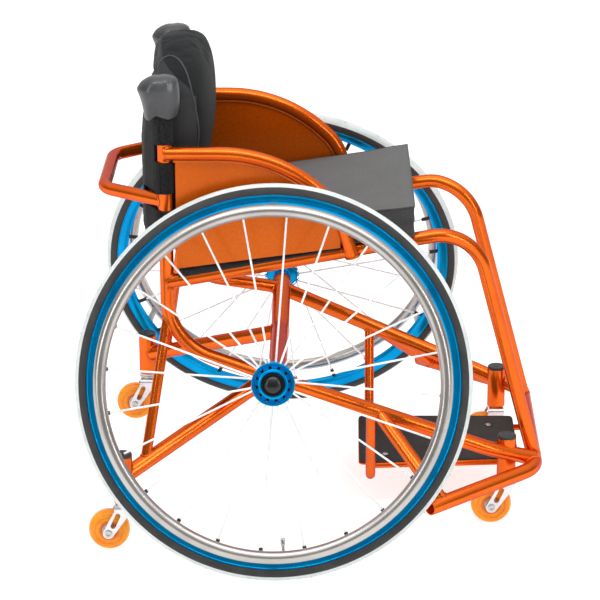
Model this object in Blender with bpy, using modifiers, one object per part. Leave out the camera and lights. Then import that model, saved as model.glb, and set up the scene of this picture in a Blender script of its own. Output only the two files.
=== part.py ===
"""Basketball wheelchair: welded tube frame, cambered main wheels, four casters.

Metres, +Z up, +X forward, the chair's left side at +Y. The floor is z = 0 and the
origin lies under the middle of the chair's length and width. Places are given from
the main axle line and moved to that origin by at().
"""
import bmesh
import bpy
from math import acos, atan, atan2, ceil, cos, pi, radians, sin, sqrt, tan
from mathutils import Matrix, Vector

for old in list(bpy.data.objects):
    bpy.data.objects.remove(old, do_unlink=True)

# Fits: the clearance where two pieces touch, and how far a coped tube stops short
GAP = 0.0003
COPE_SHORT = 0.003

# Main wheels
WHEEL_RADIUS = 0.320
TYRE_SECTION = 0.0125
CAMBER = radians(16.82)
WHEEL_Y = 0.3097
TYRE_RISE = 0.0182
RIM_EDGE_HALF = 0.0105
BEAD_DEPTH = 0.0070
BEAD_HALF = 0.0080
RIM_DEPTH = 0.0278
RIM_INNER_HALF = 0.0045
PUSHRIM_SET_IN = 0.0251
PUSHRIM_TUBE = 0.0205
PUSHRIM_STANDOFF = 0.0452
TAB_COUNT = 6
TAB_WIDTH = 0.016
TAB_THICKNESS = 0.003
RING_STEPS = 48

# Hub, spokes and quick-release axle
FLANGE_RADIUS = 0.035
FLANGE_OUT = 0.039
FLANGE_IN = 0.045
FLANGE_THICKNESS = 0.003
INNER_FLANGE_RADIUS = 0.031
BARREL_RADIUS = 0.016
LIP_RADIUS = 0.0214
LIP_RISE = 0.0035
HUB_BOSS_RADIUS = 0.014
HUB_BOSS_END = 0.0605
HUB_STEPS = 16
SPOKE_COUNT = 24
SPOKE_DIAMETER = 0.003
SPOKE_CIRCLE = 0.026
SPOKE_PHASE = radians(9.5)
AXLE_RADIUS = 0.0062
AXLE_HEAD_RADIUS = 0.018
AXLE_HEAD_LENGTH = 0.0085
AXLE_REACH = 0.050
BUTTON_RADIUS = 0.0140
BUTTON_RISE = 0.0085
BUTTON_SKIRT = 0.0030
BUTTON_TRAVEL = 0.004
BUTTON_SPARE = 0.0005
BUTTON_STEM_RADIUS = 0.0030
BUTTON_STEM_LENGTH = 0.016

# Frame tubes, outside diameters
RAIL_TUBE = 0.023
POST_TUBE = 0.023
LOWER_TUBE = 0.0254
STAY_TUBE = 0.0260
STRUT_TUBE = 0.017
BRACE_TUBE = 0.0235
GUARD_TUBE = 0.022
CAMBER_TUBE = 0.0318
BUMPER_TUBE = 0.0254
HANGER_TUBE = 0.0165
PUSH_TUBE = 0.022
WING_WALL = 0.0021
WING_BORE_DEPTH = 0.050

# Camber bar
CAMBER_BEND_Y = 0.110
CAMBER_BEND_RADIUS = 0.120

# Back posts, which curve forward into the camber bar
POST_X = -0.1775
POST_TOP_Y = 0.180
POST_FOOT_Y = 0.178
POST_TOP_Z = 0.775
POST_FOOT_Z = 0.327
POST_BEND_RADIUS = 0.096
POST_END_Y = 0.229

# Seat rails and the down tubes they become
RAIL_REAR_Y = 0.183
RAIL_REAR_Z = 0.4335
RAIL_FRONT_X = 0.270
RAIL_FRONT_Y = 0.155
RAIL_FRONT_Z = 0.507
KNEE_X = 0.332
KNEE_Z = 0.490
DOWN_TUBE_Y = 0.139
RAIL_FRONT_BEND = 0.0635
KNEE_BEND = 0.0855

# Front bumper: a crossbar with a swept wing at each side
BUMPER_X = 0.434
BUMPER_Z = 0.1075
BUMPER_CORNER_Y = 0.185
BUMPER_BEND = 0.066
WING_END_X = 0.252
WING_END_Y = 0.345
WING_END_Z = 0.1035

# Lower rails
LOWER_REAR_Y = 0.2275
LOWER_BEND_X = 0.354
LOWER_BEND_Y = 0.183
LOWER_BEND_Z = 0.141
LOWER_BEND_RADIUS = 0.210
LOWER_FRONT_Y = 0.157
LOWER_FRONT_RISE = 0.005

# Stays and struts to the rear casters
STAY_FRONT_Y = 0.098
STAY_REAR_RISE = 0.0338
STRUT_TOP_Z = 0.372
STRUT_FOOT_SHARE = 0.86

# Braces from the lower rails to the wings
BRACE_TOP_SHARE = 0.48
BRACE_FOOT_SHARE = 0.874

# Casters: swivel axes, heads, forks and wheels
REAR_CASTER_X = -0.249
REAR_CASTER_Y = 0.288
REAR_CASTER_LIFT = 0.0062
REAR_HEAD_LENGTH = 0.0645
REAR_SPACER = 0.009
FRONT_CASTER_X = 0.386
FRONT_CASTER_Y = 0.163
FRONT_HEAD_LENGTH = 0.0710
FRONT_SPACER = 0.0
HEAD_RADIUS = 0.01575
HEAD_STEPS = 16
HEAD_CAP_THICKNESS = 0.005
SPINDLE_RADIUS = 0.006
SPINDLE_STEPS = 12
CASTER_RADIUS = 0.034
CASTER_WIDTH = 0.024
CASTER_SHOULDER = 0.005
CASTER_TRAIL = 0.0245
CASTER_STEPS = 20
FORK_RISE = 0.048
FORK_HALF_WIDTH = 0.023
FORK_PLATE = 0.0045
FORK_CROWN = 0.009
FORK_LENGTH = 0.028
FORK_EYE_RADIUS = 0.0082
FORK_BOSS_RADIUS = 0.0065
SLOT_WIDTH = 0.007
SLOT_LENGTH = 0.026
SLOT_LEAN = radians(24)
SLOT_X = -0.0122
SLOT_Z = 0.0225
BOLT_RADIUS = 0.0035
BOLT_HEAD_RADIUS = 0.006
BOLT_HEAD_HEIGHT = 0.0025
BOLT_STEPS = 10

# Side guards
GUARD_Y = 0.187
GUARD_REAR_Z = 0.6535
GUARD_CROWN_X = 0.0064
GUARD_SHOULDER_X = 0.1002
GUARD_SHOULDER_Z = 0.5651
GUARD_FOOT_X = 0.1270
GUARD_FOOT_Z = 0.4800
GUARD_CROWN_BEND = 0.236
GUARD_SHOULDER_BEND = 0.082
PANEL_THICKNESS = 0.002
PANEL_REAR_X = -0.160
PANEL_FOOT_RISE = 0.0265

# Push bar
PUSH_BAR_Z = 0.5715
PUSH_BAR_DROP = 0.002
PUSH_CORNER_X = -0.2845
PUSH_CORNER_Y = 0.098
PUSH_BEND = 0.045

# Footrest: a hoop, the thin plate on it, and a rod along each edge under the plate
HANGER_X = 0.158
HANGER_HALF = 0.138
HANGER_Z = 0.0693
HANGER_BEND = 0.026
PLATE_REAR_X = 0.138
PLATE_FRONT_X = 0.412
PLATE_REAR_HALF = 0.106
PLATE_FRONT_HALF = 0.096
PLATE_CORNER = 0.010
PLATE_THICKNESS = 0.003
PLATE_TILT = radians(1.05)
PLATE_ROD = 0.009
MAT_THICKNESS = 0.003
MAT_INSET = 0.001
PLATE_TAB_Y = 0.060
PLATE_TAB_WIDTH = 0.020
PLATE_TAB_THICKNESS = 0.004
WELD_SINK = 0.0008

# Seat
SLING_THICKNESS = 0.0022
SLING_FRONT_X = 0.106
SLING_REAR_X = -0.158
SLING_SAG = 0.012
SLING_WRAP = radians(115)
CUSHION_FRONT_X = 0.2225
CUSHION_REAR_X = -0.157
CUSHION_THICKNESS = 0.050
CUSHION_HALF = 0.1750
CUSHION_FRONT_HALF = 0.183
CUSHION_SEAT_RISE = 0.0030
CUSHION_CROWN = 0.004
CUSHION_DRAW_IN = 0.002
CUSHION_EDGE = 0.005

# Backrest: fabric wrapped round the posts, and the pad in front of it
FABRIC_THICKNESS = 0.0025
FABRIC_BELLY_X = -0.2235
FABRIC_CORNER_X = -0.2120
FABRIC_CORNER_Y = 0.140
FABRIC_TOP_X = -0.1925
FABRIC_TOP_SHARE = 0.893
FABRIC_FOLD_SHARE = 0.5144
FABRIC_FOLD_GATHER = 0.25
FABRIC_UPPER_GATHER = 0.80
FABRIC_FOOT_Z = 0.505
WRAP_RADIUS = 0.0165
WRAP_INSET = 0.002
WRAP_CAP_CLEAR = 0.001
GUARD_WINDOW = 0.0305
PUSH_WINDOW = 0.0300
SOFT_GAP = 0.0006
PAD_FRONT_X = -0.1035
PAD_SIDE_DEPTH = 0.014
PAD_HALF = 0.163
PAD_TOP_HALF = 0.088
PAD_TOP_RISE = 0.022
PAD_DEEPEST_SHARE = 0.6137
PAD_FOOT_RISE = 0.015
PAD_FOOT_EDGE = 0.012
PAD_CROWN_DEPTH = 0.050
PAD_CROWN_BACK = 0.015
PAD_FOOT_RECESS = 0.023

# Post caps
CAP_HALF_LENGTH = 0.034
CAP_HALF_WIDTH = 0.025
CAP_TOP_RISE = 0.0095
CAP_FOOT_SHARE = 0.4856
CAP_X = -0.183
CAP_Y = 0.176
CAP_LOBE = 0.0035

AXLE_Z = (WHEEL_RADIUS - TYRE_SECTION) * cos(CAMBER) + TYRE_SECTION
AXLE_X = (WHEEL_RADIUS - BUMPER_X - BUMPER_TUBE / 2) / 2

# The wheel's rings, each set in from the one outside it
RIM_EDGE_RADIUS = WHEEL_RADIUS - TYRE_RISE
BEAD_RADIUS = RIM_EDGE_RADIUS - BEAD_DEPTH
RIM_INNER_RADIUS = BEAD_RADIUS - RIM_DEPTH
PUSHRIM_RADIUS = RIM_EDGE_RADIUS - PUSHRIM_SET_IN

# Heights of the back, each a share of the posts' reach above the guards or a rise from a
# neighbour's end
POST_REACH = POST_TOP_Z - GUARD_REAR_Z
FABRIC_TOP_Z = GUARD_REAR_Z + POST_REACH * FABRIC_TOP_SHARE
FABRIC_FOLD_Z = GUARD_REAR_Z + POST_REACH * FABRIC_FOLD_SHARE
CAP_FOOT_Z = GUARD_REAR_Z + POST_REACH * CAP_FOOT_SHARE
CAP_TOP_Z = POST_TOP_Z + CAP_TOP_RISE
WRAP_TOP_Z = CAP_FOOT_Z - WRAP_CAP_CLEAR
PAD_FOOT_Z = FABRIC_FOOT_Z + PAD_FOOT_RISE
PAD_TOP_Z = POST_TOP_Z + PAD_TOP_RISE
PAD_DEEPEST_Z = PAD_FOOT_Z + (PAD_TOP_Z - PAD_FOOT_Z) * PAD_DEEPEST_SHARE
SIDES = {"right": -1, "left": 1}


def at(x, y, z):
    """A place given from the main axle line, in the part's own frame."""
    return Vector((x + AXLE_X, y, z))


def side_at(side, x, y, z):
    """A place on the right or left side, with y given as a distance from the middle."""
    return at(x, SIDES[side] * y, z)


def on_line(start, end, share):
    return start + (end - start) * share


parts = bpy.data.collections.new("basketball_wheelchair")
cutters = bpy.data.collections.new("cutters")
bpy.context.scene.collection.children.link(parts)
bpy.context.scene.collection.children.link(cutters)


def finish(name, colour, roughness, metallic=0.0):
    """A plain Principled material."""
    material = bpy.data.materials.new(name)
    material.use_nodes = True
    shader = material.node_tree.nodes["Principled BSDF"]
    shader.inputs["Base Color"].default_value = (*colour, 1.0)
    shader.inputs["Roughness"].default_value = roughness
    shader.inputs["Metallic"].default_value = metallic
    return material


FRAME_PAINT = ("frame_paint", (0.78, 0.17, 0.01), 0.30, 0.6)
RIM_BLUE = ("rim_blue", (0.01, 0.25, 0.62), 0.28, 0.7)
PUSHRIM_SILVER = ("pushrim_silver", (0.66, 0.64, 0.62), 0.32, 0.9)
TYRE_RUBBER = ("tyre_rubber", (0.07, 0.07, 0.07), 0.75)
FORK_SILVER = ("fork_silver", (0.78, 0.79, 0.80), 0.30, 0.8)
BOLT_STEEL = ("bolt_steel", (0.55, 0.55, 0.56), 0.30, 1.0)
CASTER_AMBER = ("caster_amber", (0.90, 0.36, 0.03), 0.35)
CAP_PLASTIC = ("cap_plastic", (0.10, 0.10, 0.11), 0.50)
AXLE_BLACK = ("axle_black", (0.03, 0.03, 0.03), 0.40, 0.5)
MAT_GRIT = ("mat_grit", (0.05, 0.05, 0.05), 0.90)
SLING_WEB = ("sling_web", (0.03, 0.03, 0.03), 0.85)
SEAT_FABRIC = ("seat_fabric", (0.13, 0.13, 0.14), 0.85)
BACK_FABRIC = ("back_fabric", (0.06, 0.065, 0.07), 0.85)
CAP_LEATHER = ("cap_leather", (0.10, 0.10, 0.11), 0.55)


def new_object(name, mesh, place=(0, 0, 0), parent=None, group=None):
    piece = bpy.data.objects.new(name, mesh)
    piece.location = place
    piece.parent = parent
    (group or parts).objects.link(piece)
    return piece


def new_part(name, mesh, look, place=(0, 0, 0), parent=None, crease=40):
    """A finished piece: its own material, smooth shading and its node's name."""
    mesh.materials.clear()
    mesh.materials.append(finish(name, *look[1:]))
    mesh.shade_smooth()
    mesh.set_sharp_from_angle(angle=radians(crease))
    return new_object(name, mesh, place, parent)


def new_cutter(name, mesh, place=(0, 0, 0), parent=None):
    cutter = new_object(name, mesh, place, parent, cutters)
    cutter.hide_render = True
    cutter.display_type = "WIRE"
    return cutter


def boolean(piece, operation, tool):
    step = piece.modifiers.new(operation.lower(), "BOOLEAN")
    step.operation = operation
    step.solver = "EXACT"
    step.object = tool


def bevel(piece, width, segments=2, angle=40):
    edge = piece.modifiers.new("edge", "BEVEL")
    edge.width = width
    edge.segments = segments
    edge.limit_method = "ANGLE"
    edge.angle_limit = radians(angle)


def settled(name, piece):
    """The mesh of a piece with its modifiers applied; the piece itself is removed."""
    graph = bpy.context.evaluated_depsgraph_get()
    mesh = bpy.data.meshes.new_from_object(piece.evaluated_get(graph))
    mesh.name = name
    bpy.data.objects.remove(piece, do_unlink=True)
    return mesh


def bend_route(corners, bends, step=15):
    """Straight runs joined by arcs, one arc of the given radius at each inner corner."""
    route = [corners[0].copy()]
    for before, corner, after, radius in zip(corners, corners[1:], corners[2:], bends):
        back = (before - corner).normalized()
        ahead = (after - corner).normalized()
        turn = pi - back.angle(ahead)
        trim = radius * tan(turn / 2)
        centre = corner + (back + ahead).normalized() * radius / cos(turn / 2)
        start = corner + back * trim - centre
        rings = max(2, ceil(turn / radians(step)))
        for ring in range(rings + 1):
            swing = turn * ring / rings
            route.append(centre + start * cos(swing) - back * radius * sin(swing))
    route.append(corners[-1].copy())
    return route


def tube_mesh(name, route, diameter, resolution=3):
    """A closed round tube along a route, its place taken from the route's own points."""
    curve = bpy.data.curves.new(name, "CURVE")
    curve.dimensions = "3D"
    curve.bevel_depth = diameter / 2
    curve.bevel_resolution = resolution
    curve.use_fill_caps = True
    spline = curve.splines.new("POLY")
    spline.points.add(len(route) - 1)
    for point, place in zip(spline.points, route):
        point.co = (*(place - route[0]), 1.0)
    rod = new_object(name, curve, route[0])
    mesh = settled(name, rod)
    body = bmesh.new()
    body.from_mesh(mesh)
    bmesh.ops.remove_doubles(body, verts=body.verts, dist=0.00001)
    bmesh.ops.recalc_face_normals(body, faces=body.faces)
    body.to_mesh(mesh)
    body.free()
    return mesh


TUBES = {}
HEADS = {}


def tube(name, route, diameter, look=FRAME_PAINT, short=(True, True)):
    """A frame tube; an end that meets another tube stops short of its centre line."""
    route = [place.copy() for place in route]
    TUBES[name] = ([place.copy() for place in route], diameter)
    if short[0]:
        route[0] += (route[1] - route[0]).normalized() * COPE_SHORT
    if short[1]:
        route[-1] += (route[-2] - route[-1]).normalized() * COPE_SHORT
    return new_part(name, tube_mesh(name, route, diameter), look, route[0])


def grown(name, extra=GAP):
    """The cutter of a tube or head: its own shape, larger all round by the welding gap."""
    cutter_name = f"{name}_cutter_{extra}"
    if cutter_name not in bpy.data.objects:
        if name in HEADS:
            place, length = HEADS[name]
            mesh = cylinder_mesh(cutter_name, HEAD_RADIUS + extra, 0, length, HEAD_STEPS)
        else:
            route, diameter = TUBES[name]
            place = route[0]
            mesh = tube_mesh(cutter_name, route, diameter + 2 * extra)
        new_cutter(cutter_name, mesh, place)
    return bpy.data.objects[cutter_name]


def cope(piece, *carriers):
    """Notches the piece so that it seats on its carriers."""
    for carrier in carriers:
        boolean(piece, "DIFFERENCE", grown(carrier))


def turned_mesh(name, profile, steps, closed=True):
    """A turned shape from (radius, height) points that run down its outer side."""
    outline = bpy.data.meshes.new(name)
    count = len(profile)
    edges = [(index, index + 1) for index in range(count - 1)]
    if closed:
        edges.append((count - 1, 0))
    outline.from_pydata([(radius, 0, height) for radius, height in profile], edges, [])
    blank = new_object(name, outline)
    turn = blank.modifiers.new("turn", "SCREW")
    turn.angle = 2 * pi
    turn.steps = steps
    turn.render_steps = steps
    turn.use_merge_vertices = True
    turn.merge_threshold = 0.00001
    return settled(name, blank)


def cylinder_mesh(name, radius, low, high, steps):
    """A closed cylinder on the Z axis."""
    body = bmesh.new()
    bmesh.ops.create_cone(body, cap_ends=True, segments=steps, radius1=radius,
                          radius2=radius, depth=high - low)
    bmesh.ops.translate(body, verts=body.verts, vec=(0, 0, (low + high) / 2))
    mesh = bpy.data.meshes.new(name)
    body.to_mesh(mesh)
    body.free()
    return mesh


def box_mesh(name, low, high):
    """A closed box between two corners."""
    body = bmesh.new()
    bmesh.ops.create_cube(body, size=1)
    size = Vector(high) - Vector(low)
    bmesh.ops.scale(body, verts=body.verts, vec=size)
    bmesh.ops.translate(body, verts=body.verts, vec=Vector(low) + size / 2)
    mesh = bpy.data.meshes.new(name)
    body.to_mesh(mesh)
    body.free()
    return mesh


def plate_mesh(name, outline, thickness):
    """A flat plate in the XY plane, centred on z = 0, from its outline."""
    curve = bpy.data.curves.new(name, "CURVE")
    curve.dimensions = "2D"
    curve.fill_mode = "BOTH"
    curve.extrude = thickness / 2
    spline = curve.splines.new("POLY")
    spline.points.add(len(outline) - 1)
    for point, (x, y) in zip(spline.points, outline):
        point.co = (x, y, 0, 1)
    spline.use_cyclic_u = True
    mesh = settled(name, new_object(name, curve))
    body = bmesh.new()
    body.from_mesh(mesh)
    bmesh.ops.remove_doubles(body, verts=body.verts, dist=0.00001)
    bmesh.ops.recalc_face_normals(body, faces=body.faces)
    body.to_mesh(mesh)
    body.free()
    return mesh


def arc(centre, radius, start, end, steps):
    """Points on a flat arc, both ends included."""
    points = []
    for step in range(steps + 1):
        angle = start + (end - start) * step / steps
        points.append((centre[0] + radius * cos(angle), centre[1] + radius * sin(angle)))
    return points


def loft_mesh(name, rings):
    """A closed skin through rings of equally many points, with a flat cap at each end."""
    body = bmesh.new()
    rows = [[body.verts.new(place) for place in ring] for ring in rings]
    count = len(rows[0])
    for low, high in zip(rows, rows[1:]):
        for index in range(count):
            after = (index + 1) % count
            body.faces.new((low[index], low[after], high[after], high[index]))
    body.faces.new(rows[0])
    body.faces.new(rows[-1])
    bmesh.ops.recalc_face_normals(body, faces=body.faces)
    mesh = bpy.data.meshes.new(name)
    body.to_mesh(mesh)
    body.free()
    return mesh


def axle_height(y):
    """Height of the axle line at a distance y from the middle."""
    return AXLE_Z - (WHEEL_Y - y) * tan(CAMBER)


def axle_point(side, reach):
    """A point on the axle line, at a distance inboard from the wheel's centre."""
    return side_at(side, 0, WHEEL_Y - reach * cos(CAMBER), AXLE_Z - reach * sin(CAMBER))


def empty(name, place, rotation=(0, 0, 0)):
    frame = bpy.data.objects.new(name, None)
    frame.empty_display_size = 0.05
    frame.location = place
    frame.rotation_euler = rotation
    parts.objects.link(frame)
    return frame


# Axle and hub sizes that several pieces share
HUB_FACE = FLANGE_OUT + FLANGE_THICKNESS / 2
HUB_TOP = HUB_FACE + LIP_RISE
HUB_BORE = (AXLE_RADIUS + GAP) / cos(pi / HUB_STEPS)
BAR_END = HUB_BOSS_END + GAP

# Camber bar: level in the middle, and in line with an axle at each end
CAMBER_MID_Z = axle_height(CAMBER_BEND_Y)
camber_corners = [
    axle_point("right", BAR_END),
    side_at("right", 0, CAMBER_BEND_Y, CAMBER_MID_Z),
    side_at("left", 0, CAMBER_BEND_Y, CAMBER_MID_Z),
    axle_point("left", BAR_END),
]
camber_route = bend_route(camber_corners, [CAMBER_BEND_RADIUS] * 2, step=9)
camber_bar = tube("camber_bar", camber_route, CAMBER_TUBE, short=(False, False))

WHEEL_FRAMES = {}
for side in SIDES:
    turn_back = pi if side == "left" else 0.0
    centre = side_at(side, 0, WHEEL_Y, AXLE_Z)
    WHEEL_FRAMES[side] = empty(f"{side}_axle_line", centre, (pi / 2 - CAMBER, 0, turn_back))
    sleeve_depth = BAR_END + AXLE_REACH
    sleeve = cylinder_mesh("axle_sleeve_bore", HUB_BORE, -sleeve_depth - GAP * 2, 0, HUB_STEPS)
    boolean(camber_bar, "DIFFERENCE",
            new_cutter(f"{side}_sleeve_cutter", sleeve, parent=WHEEL_FRAMES[side]))

# Front bumper: one bent tube, its two open ends bored as a tube is
bumper_corners = [
    side_at("right", WING_END_X, WING_END_Y, WING_END_Z),
    side_at("right", BUMPER_X, BUMPER_CORNER_Y, BUMPER_Z),
    side_at("left", BUMPER_X, BUMPER_CORNER_Y, BUMPER_Z),
    side_at("left", WING_END_X, WING_END_Y, WING_END_Z),
]
bumper = tube("front_bumper", bend_route(bumper_corners, [BUMPER_BEND] * 2, step=13),
              BUMPER_TUBE, short=(False, False))
for side in SIDES:
    tip = side_at(side, WING_END_X, WING_END_Y, WING_END_Z)
    root = side_at(side, BUMPER_X, BUMPER_CORNER_Y, BUMPER_Z)
    inward = (root - tip).normalized()
    bore_route = [tip - inward * WING_WALL, tip + inward * WING_BORE_DEPTH]
    bore = tube_mesh("wing_bore", bore_route, BUMPER_TUBE - 2 * WING_WALL)
    boolean(bumper, "DIFFERENCE", new_cutter(f"{side}_wing_bore", bore, bore_route[0]))

# Caster heads: a bored sleeve on each swivel axis, with a plastic cap on top
CASTER_SITES = {
    "front": (FRONT_CASTER_X, FRONT_CASTER_Y, 0.0, FRONT_HEAD_LENGTH, FRONT_SPACER),
    "rear": (REAR_CASTER_X, REAR_CASTER_Y, REAR_CASTER_LIFT, REAR_HEAD_LENGTH, REAR_SPACER),
}
HEAD_BORE = (SPINDLE_RADIUS + GAP) / cos(pi / SPINDLE_STEPS)


def head_foot(row):
    """Height of the lower end of a caster head."""
    lift, spacer = CASTER_SITES[row][2], CASTER_SITES[row][4]
    return lift + CASTER_RADIUS + FORK_RISE + spacer + GAP


CAP_PROFILE = [(0, HEAD_CAP_THICKNESS), (HEAD_RADIUS * 0.75, HEAD_CAP_THICKNESS * 0.92),
               (HEAD_RADIUS, HEAD_CAP_THICKNESS * 0.55), (HEAD_RADIUS, 0), (0, 0)]
for side in SIDES:
    for row, (x, y, lift, length, spacer) in CASTER_SITES.items():
        foot = head_foot(row)
        body_length = length - HEAD_CAP_THICKNESS - GAP
        name = f"{side}_{row}_caster_head"
        place = side_at(side, x, y, foot)
        blank = cylinder_mesh(name, HEAD_RADIUS, 0, body_length, HEAD_STEPS)
        head = new_part(name, blank, FRAME_PAINT, place)
        bore = cylinder_mesh(f"{name}_bore", HEAD_BORE, -GAP * 10, length, SPINDLE_STEPS)
        boolean(head, "DIFFERENCE", new_cutter(f"{name}_bore", bore, place))
        HEADS[name] = (place, body_length)
        cap_name = f"{side}_{row}_head_cap"
        cap_place = side_at(side, x, y, foot + body_length + GAP)
        cap_mesh = turned_mesh(cap_name, CAP_PROFILE, HEAD_STEPS, closed=False)
        new_part(cap_name, cap_mesh, CAP_PLASTIC, cap_place)

# Back posts, seat rails, lower rails, stays, struts and braces, one of each per side
for side in SIDES:
    post_corners = [
        side_at(side, POST_X, POST_TOP_Y, POST_TOP_Z),
        side_at(side, POST_X, POST_FOOT_Y, POST_FOOT_Z),
        side_at(side, 0, POST_END_Y, axle_height(POST_END_Y)),
    ]
    post_name = f"{side}_back_post"
    post = tube(post_name, bend_route(post_corners, [POST_BEND_RADIUS]), POST_TUBE,
                short=(False, True))
    cope(post, "camber_bar")

    rail_corners = [
        side_at(side, POST_X, RAIL_REAR_Y, RAIL_REAR_Z),
        side_at(side, RAIL_FRONT_X, RAIL_FRONT_Y, RAIL_FRONT_Z),
        side_at(side, KNEE_X, DOWN_TUBE_Y, KNEE_Z),
        side_at(side, BUMPER_X, DOWN_TUBE_Y, BUMPER_Z),
    ]
    rail_name = f"{side}_seat_rail"
    rail = tube(rail_name, bend_route(rail_corners, [RAIL_FRONT_BEND, KNEE_BEND], step=18),
                RAIL_TUBE)
    cope(rail, post_name, "front_bumper")

    lower_corners = [
        side_at(side, 0, LOWER_REAR_Y, axle_height(LOWER_REAR_Y)),
        side_at(side, LOWER_BEND_X, LOWER_BEND_Y, LOWER_BEND_Z),
        side_at(side, BUMPER_X, LOWER_FRONT_Y, BUMPER_Z + LOWER_FRONT_RISE),
    ]
    lower_name = f"{side}_lower_rail"
    lower_route = bend_route(lower_corners, [LOWER_BEND_RADIUS], step=6)
    lower = tube(lower_name, lower_route, LOWER_TUBE)
    cope(lower, "camber_bar", "front_bumper", rail_name, f"{side}_front_caster_head")

    stay_front = side_at(side, 0, STAY_FRONT_Y, CAMBER_MID_Z)
    stay_rear = side_at(side, REAR_CASTER_X, REAR_CASTER_Y,
                        head_foot("rear") + STAY_REAR_RISE)
    stay_name = f"{side}_rear_stay"
    stay = tube(stay_name, [stay_front, stay_rear], STAY_TUBE)
    cope(stay, "camber_bar", f"{side}_rear_caster_head")

    post_share = (POST_TOP_Z - STRUT_TOP_Z) / (POST_TOP_Z - POST_FOOT_Z)
    strut_top = on_line(post_corners[0], post_corners[1], post_share)
    strut_foot = on_line(stay_front, stay_rear, STRUT_FOOT_SHARE)
    strut = tube(f"{side}_rear_strut", [strut_top, strut_foot], STRUT_TUBE)
    cope(strut, post_name, stay_name)

    brace_top = on_line(lower_corners[0], lower_corners[1], BRACE_TOP_SHARE)
    wing_root = side_at(side, BUMPER_X, BUMPER_CORNER_Y, BUMPER_Z)
    wing_tip = side_at(side, WING_END_X, WING_END_Y, WING_END_Z)
    brace_foot = on_line(wing_root, wing_tip, BRACE_FOOT_SHARE)
    brace = tube(f"{side}_wing_brace", [brace_top, brace_foot], BRACE_TUBE)
    cope(brace, lower_name, "front_bumper")

# Push bar: a loop behind the backrest, welded to both posts
push_start_share = (POST_TOP_Z - PUSH_BAR_Z) / (POST_TOP_Z - POST_FOOT_Z)
push_start_y = POST_TOP_Y + (POST_FOOT_Y - POST_TOP_Y) * push_start_share
push_corners = [
    side_at("right", POST_X, push_start_y, PUSH_BAR_Z),
    side_at("right", PUSH_CORNER_X, PUSH_CORNER_Y, PUSH_BAR_Z - PUSH_BAR_DROP),
    side_at("left", PUSH_CORNER_X, PUSH_CORNER_Y, PUSH_BAR_Z - PUSH_BAR_DROP),
    side_at("left", POST_X, push_start_y, PUSH_BAR_Z),
]
push_bar = tube("push_bar", bend_route(push_corners, [PUSH_BEND] * 2), PUSH_TUBE)
cope(push_bar, "right_back_post", "left_back_post")

# Footrest hanger: a hoop between the lower rails
hanger_share = HANGER_X / LOWER_BEND_X
hanger_top_z = axle_height(LOWER_REAR_Y) * (1 - hanger_share) + LOWER_BEND_Z * hanger_share
hanger_top_y = LOWER_REAR_Y * (1 - hanger_share) + LOWER_BEND_Y * hanger_share
hanger_corners = [
    side_at("right", HANGER_X, hanger_top_y, hanger_top_z),
    side_at("right", HANGER_X, HANGER_HALF, HANGER_Z),
    side_at("left", HANGER_X, HANGER_HALF, HANGER_Z),
    side_at("left", HANGER_X, hanger_top_y, hanger_top_z),
]
hanger = tube("footrest_hanger", bend_route(hanger_corners, [HANGER_BEND] * 2, step=22),
              HANGER_TUBE)
cope(hanger, "right_lower_rail", "left_lower_rail", "right_wing_brace", "left_wing_brace")

# Footplate: a tapered metal plate that lies on the hanger, with a rod under each side
# edge and two lugs that seat on the bumper; the grip mat lies on it
PLATE_FOOT_Z = HANGER_Z + HANGER_TUBE / 2 + GAP
plate_frame = empty("footplate_frame", at(HANGER_X, 0, PLATE_FOOT_Z), (0, -PLATE_TILT, 0))


def plate_outline(inset):
    """The tapered outline with rounded corners, from the hanger's line."""
    rear = PLATE_REAR_X - HANGER_X + inset
    front = PLATE_FRONT_X - HANGER_X - inset
    centres = [(front, PLATE_FRONT_HALF - inset, 0), (rear, PLATE_REAR_HALF - inset, pi / 2),
               (rear, inset - PLATE_REAR_HALF, pi), (front, inset - PLATE_FRONT_HALF, pi * 1.5)]
    outline = []
    for x, y, start in centres:
        towards_x = x - PLATE_CORNER if x > 0 else x + PLATE_CORNER
        towards_y = y - PLATE_CORNER if y > 0 else y + PLATE_CORNER
        outline += arc((towards_x, towards_y), PLATE_CORNER, start, start + pi / 2, 3)
    return outline


plate_mesh_flat = plate_mesh("footplate", plate_outline(0), PLATE_THICKNESS)
footplate = new_part("footplate", plate_mesh_flat, FRAME_PAINT,
                     (0, 0, PLATE_THICKNESS / 2), plate_frame)
rod_drop = PLATE_ROD / 2 - WELD_SINK
for side, sign in SIDES.items():
    low_y = sign * PLATE_TAB_Y - PLATE_TAB_WIDTH / 2
    high_y = sign * PLATE_TAB_Y + PLATE_TAB_WIDTH / 2
    reach = BUMPER_X - HANGER_X + PLATE_TAB_THICKNESS
    start = PLATE_FRONT_X - HANGER_X - PLATE_CORNER
    tongue = box_mesh("tongue", (start, low_y, -PLATE_TAB_THICKNESS),
                      (reach, high_y, WELD_SINK))
    lug = box_mesh("lug", (reach - 2 * PLATE_TAB_THICKNESS, low_y, -WELD_SINK),
                   (reach, high_y, BUMPER_Z - PLATE_FOOT_Z))
    boolean(footplate, "UNION", new_cutter(f"{side}_tongue", tongue, parent=plate_frame))
    boolean(footplate, "UNION", new_cutter(f"{side}_lug", lug, parent=plate_frame))
    half_slope = (PLATE_FRONT_HALF - PLATE_REAR_HALF) / (PLATE_FRONT_X - PLATE_REAR_X)
    rod_ends = []
    for x in (HANGER_X, PLATE_FRONT_X - PLATE_CORNER):
        half = PLATE_REAR_HALF + (x - PLATE_REAR_X) * half_slope - PLATE_ROD / 2
        rod_ends.append(Vector((x - HANGER_X, sign * half, -rod_drop)))
    rod = tube_mesh("plate_rod", rod_ends, PLATE_ROD, 2)
    boolean(footplate, "UNION",
            new_cutter(f"{side}_plate_rod", rod, rod_ends[0], plate_frame))
cope(footplate, "front_bumper", "footrest_hanger")
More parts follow.
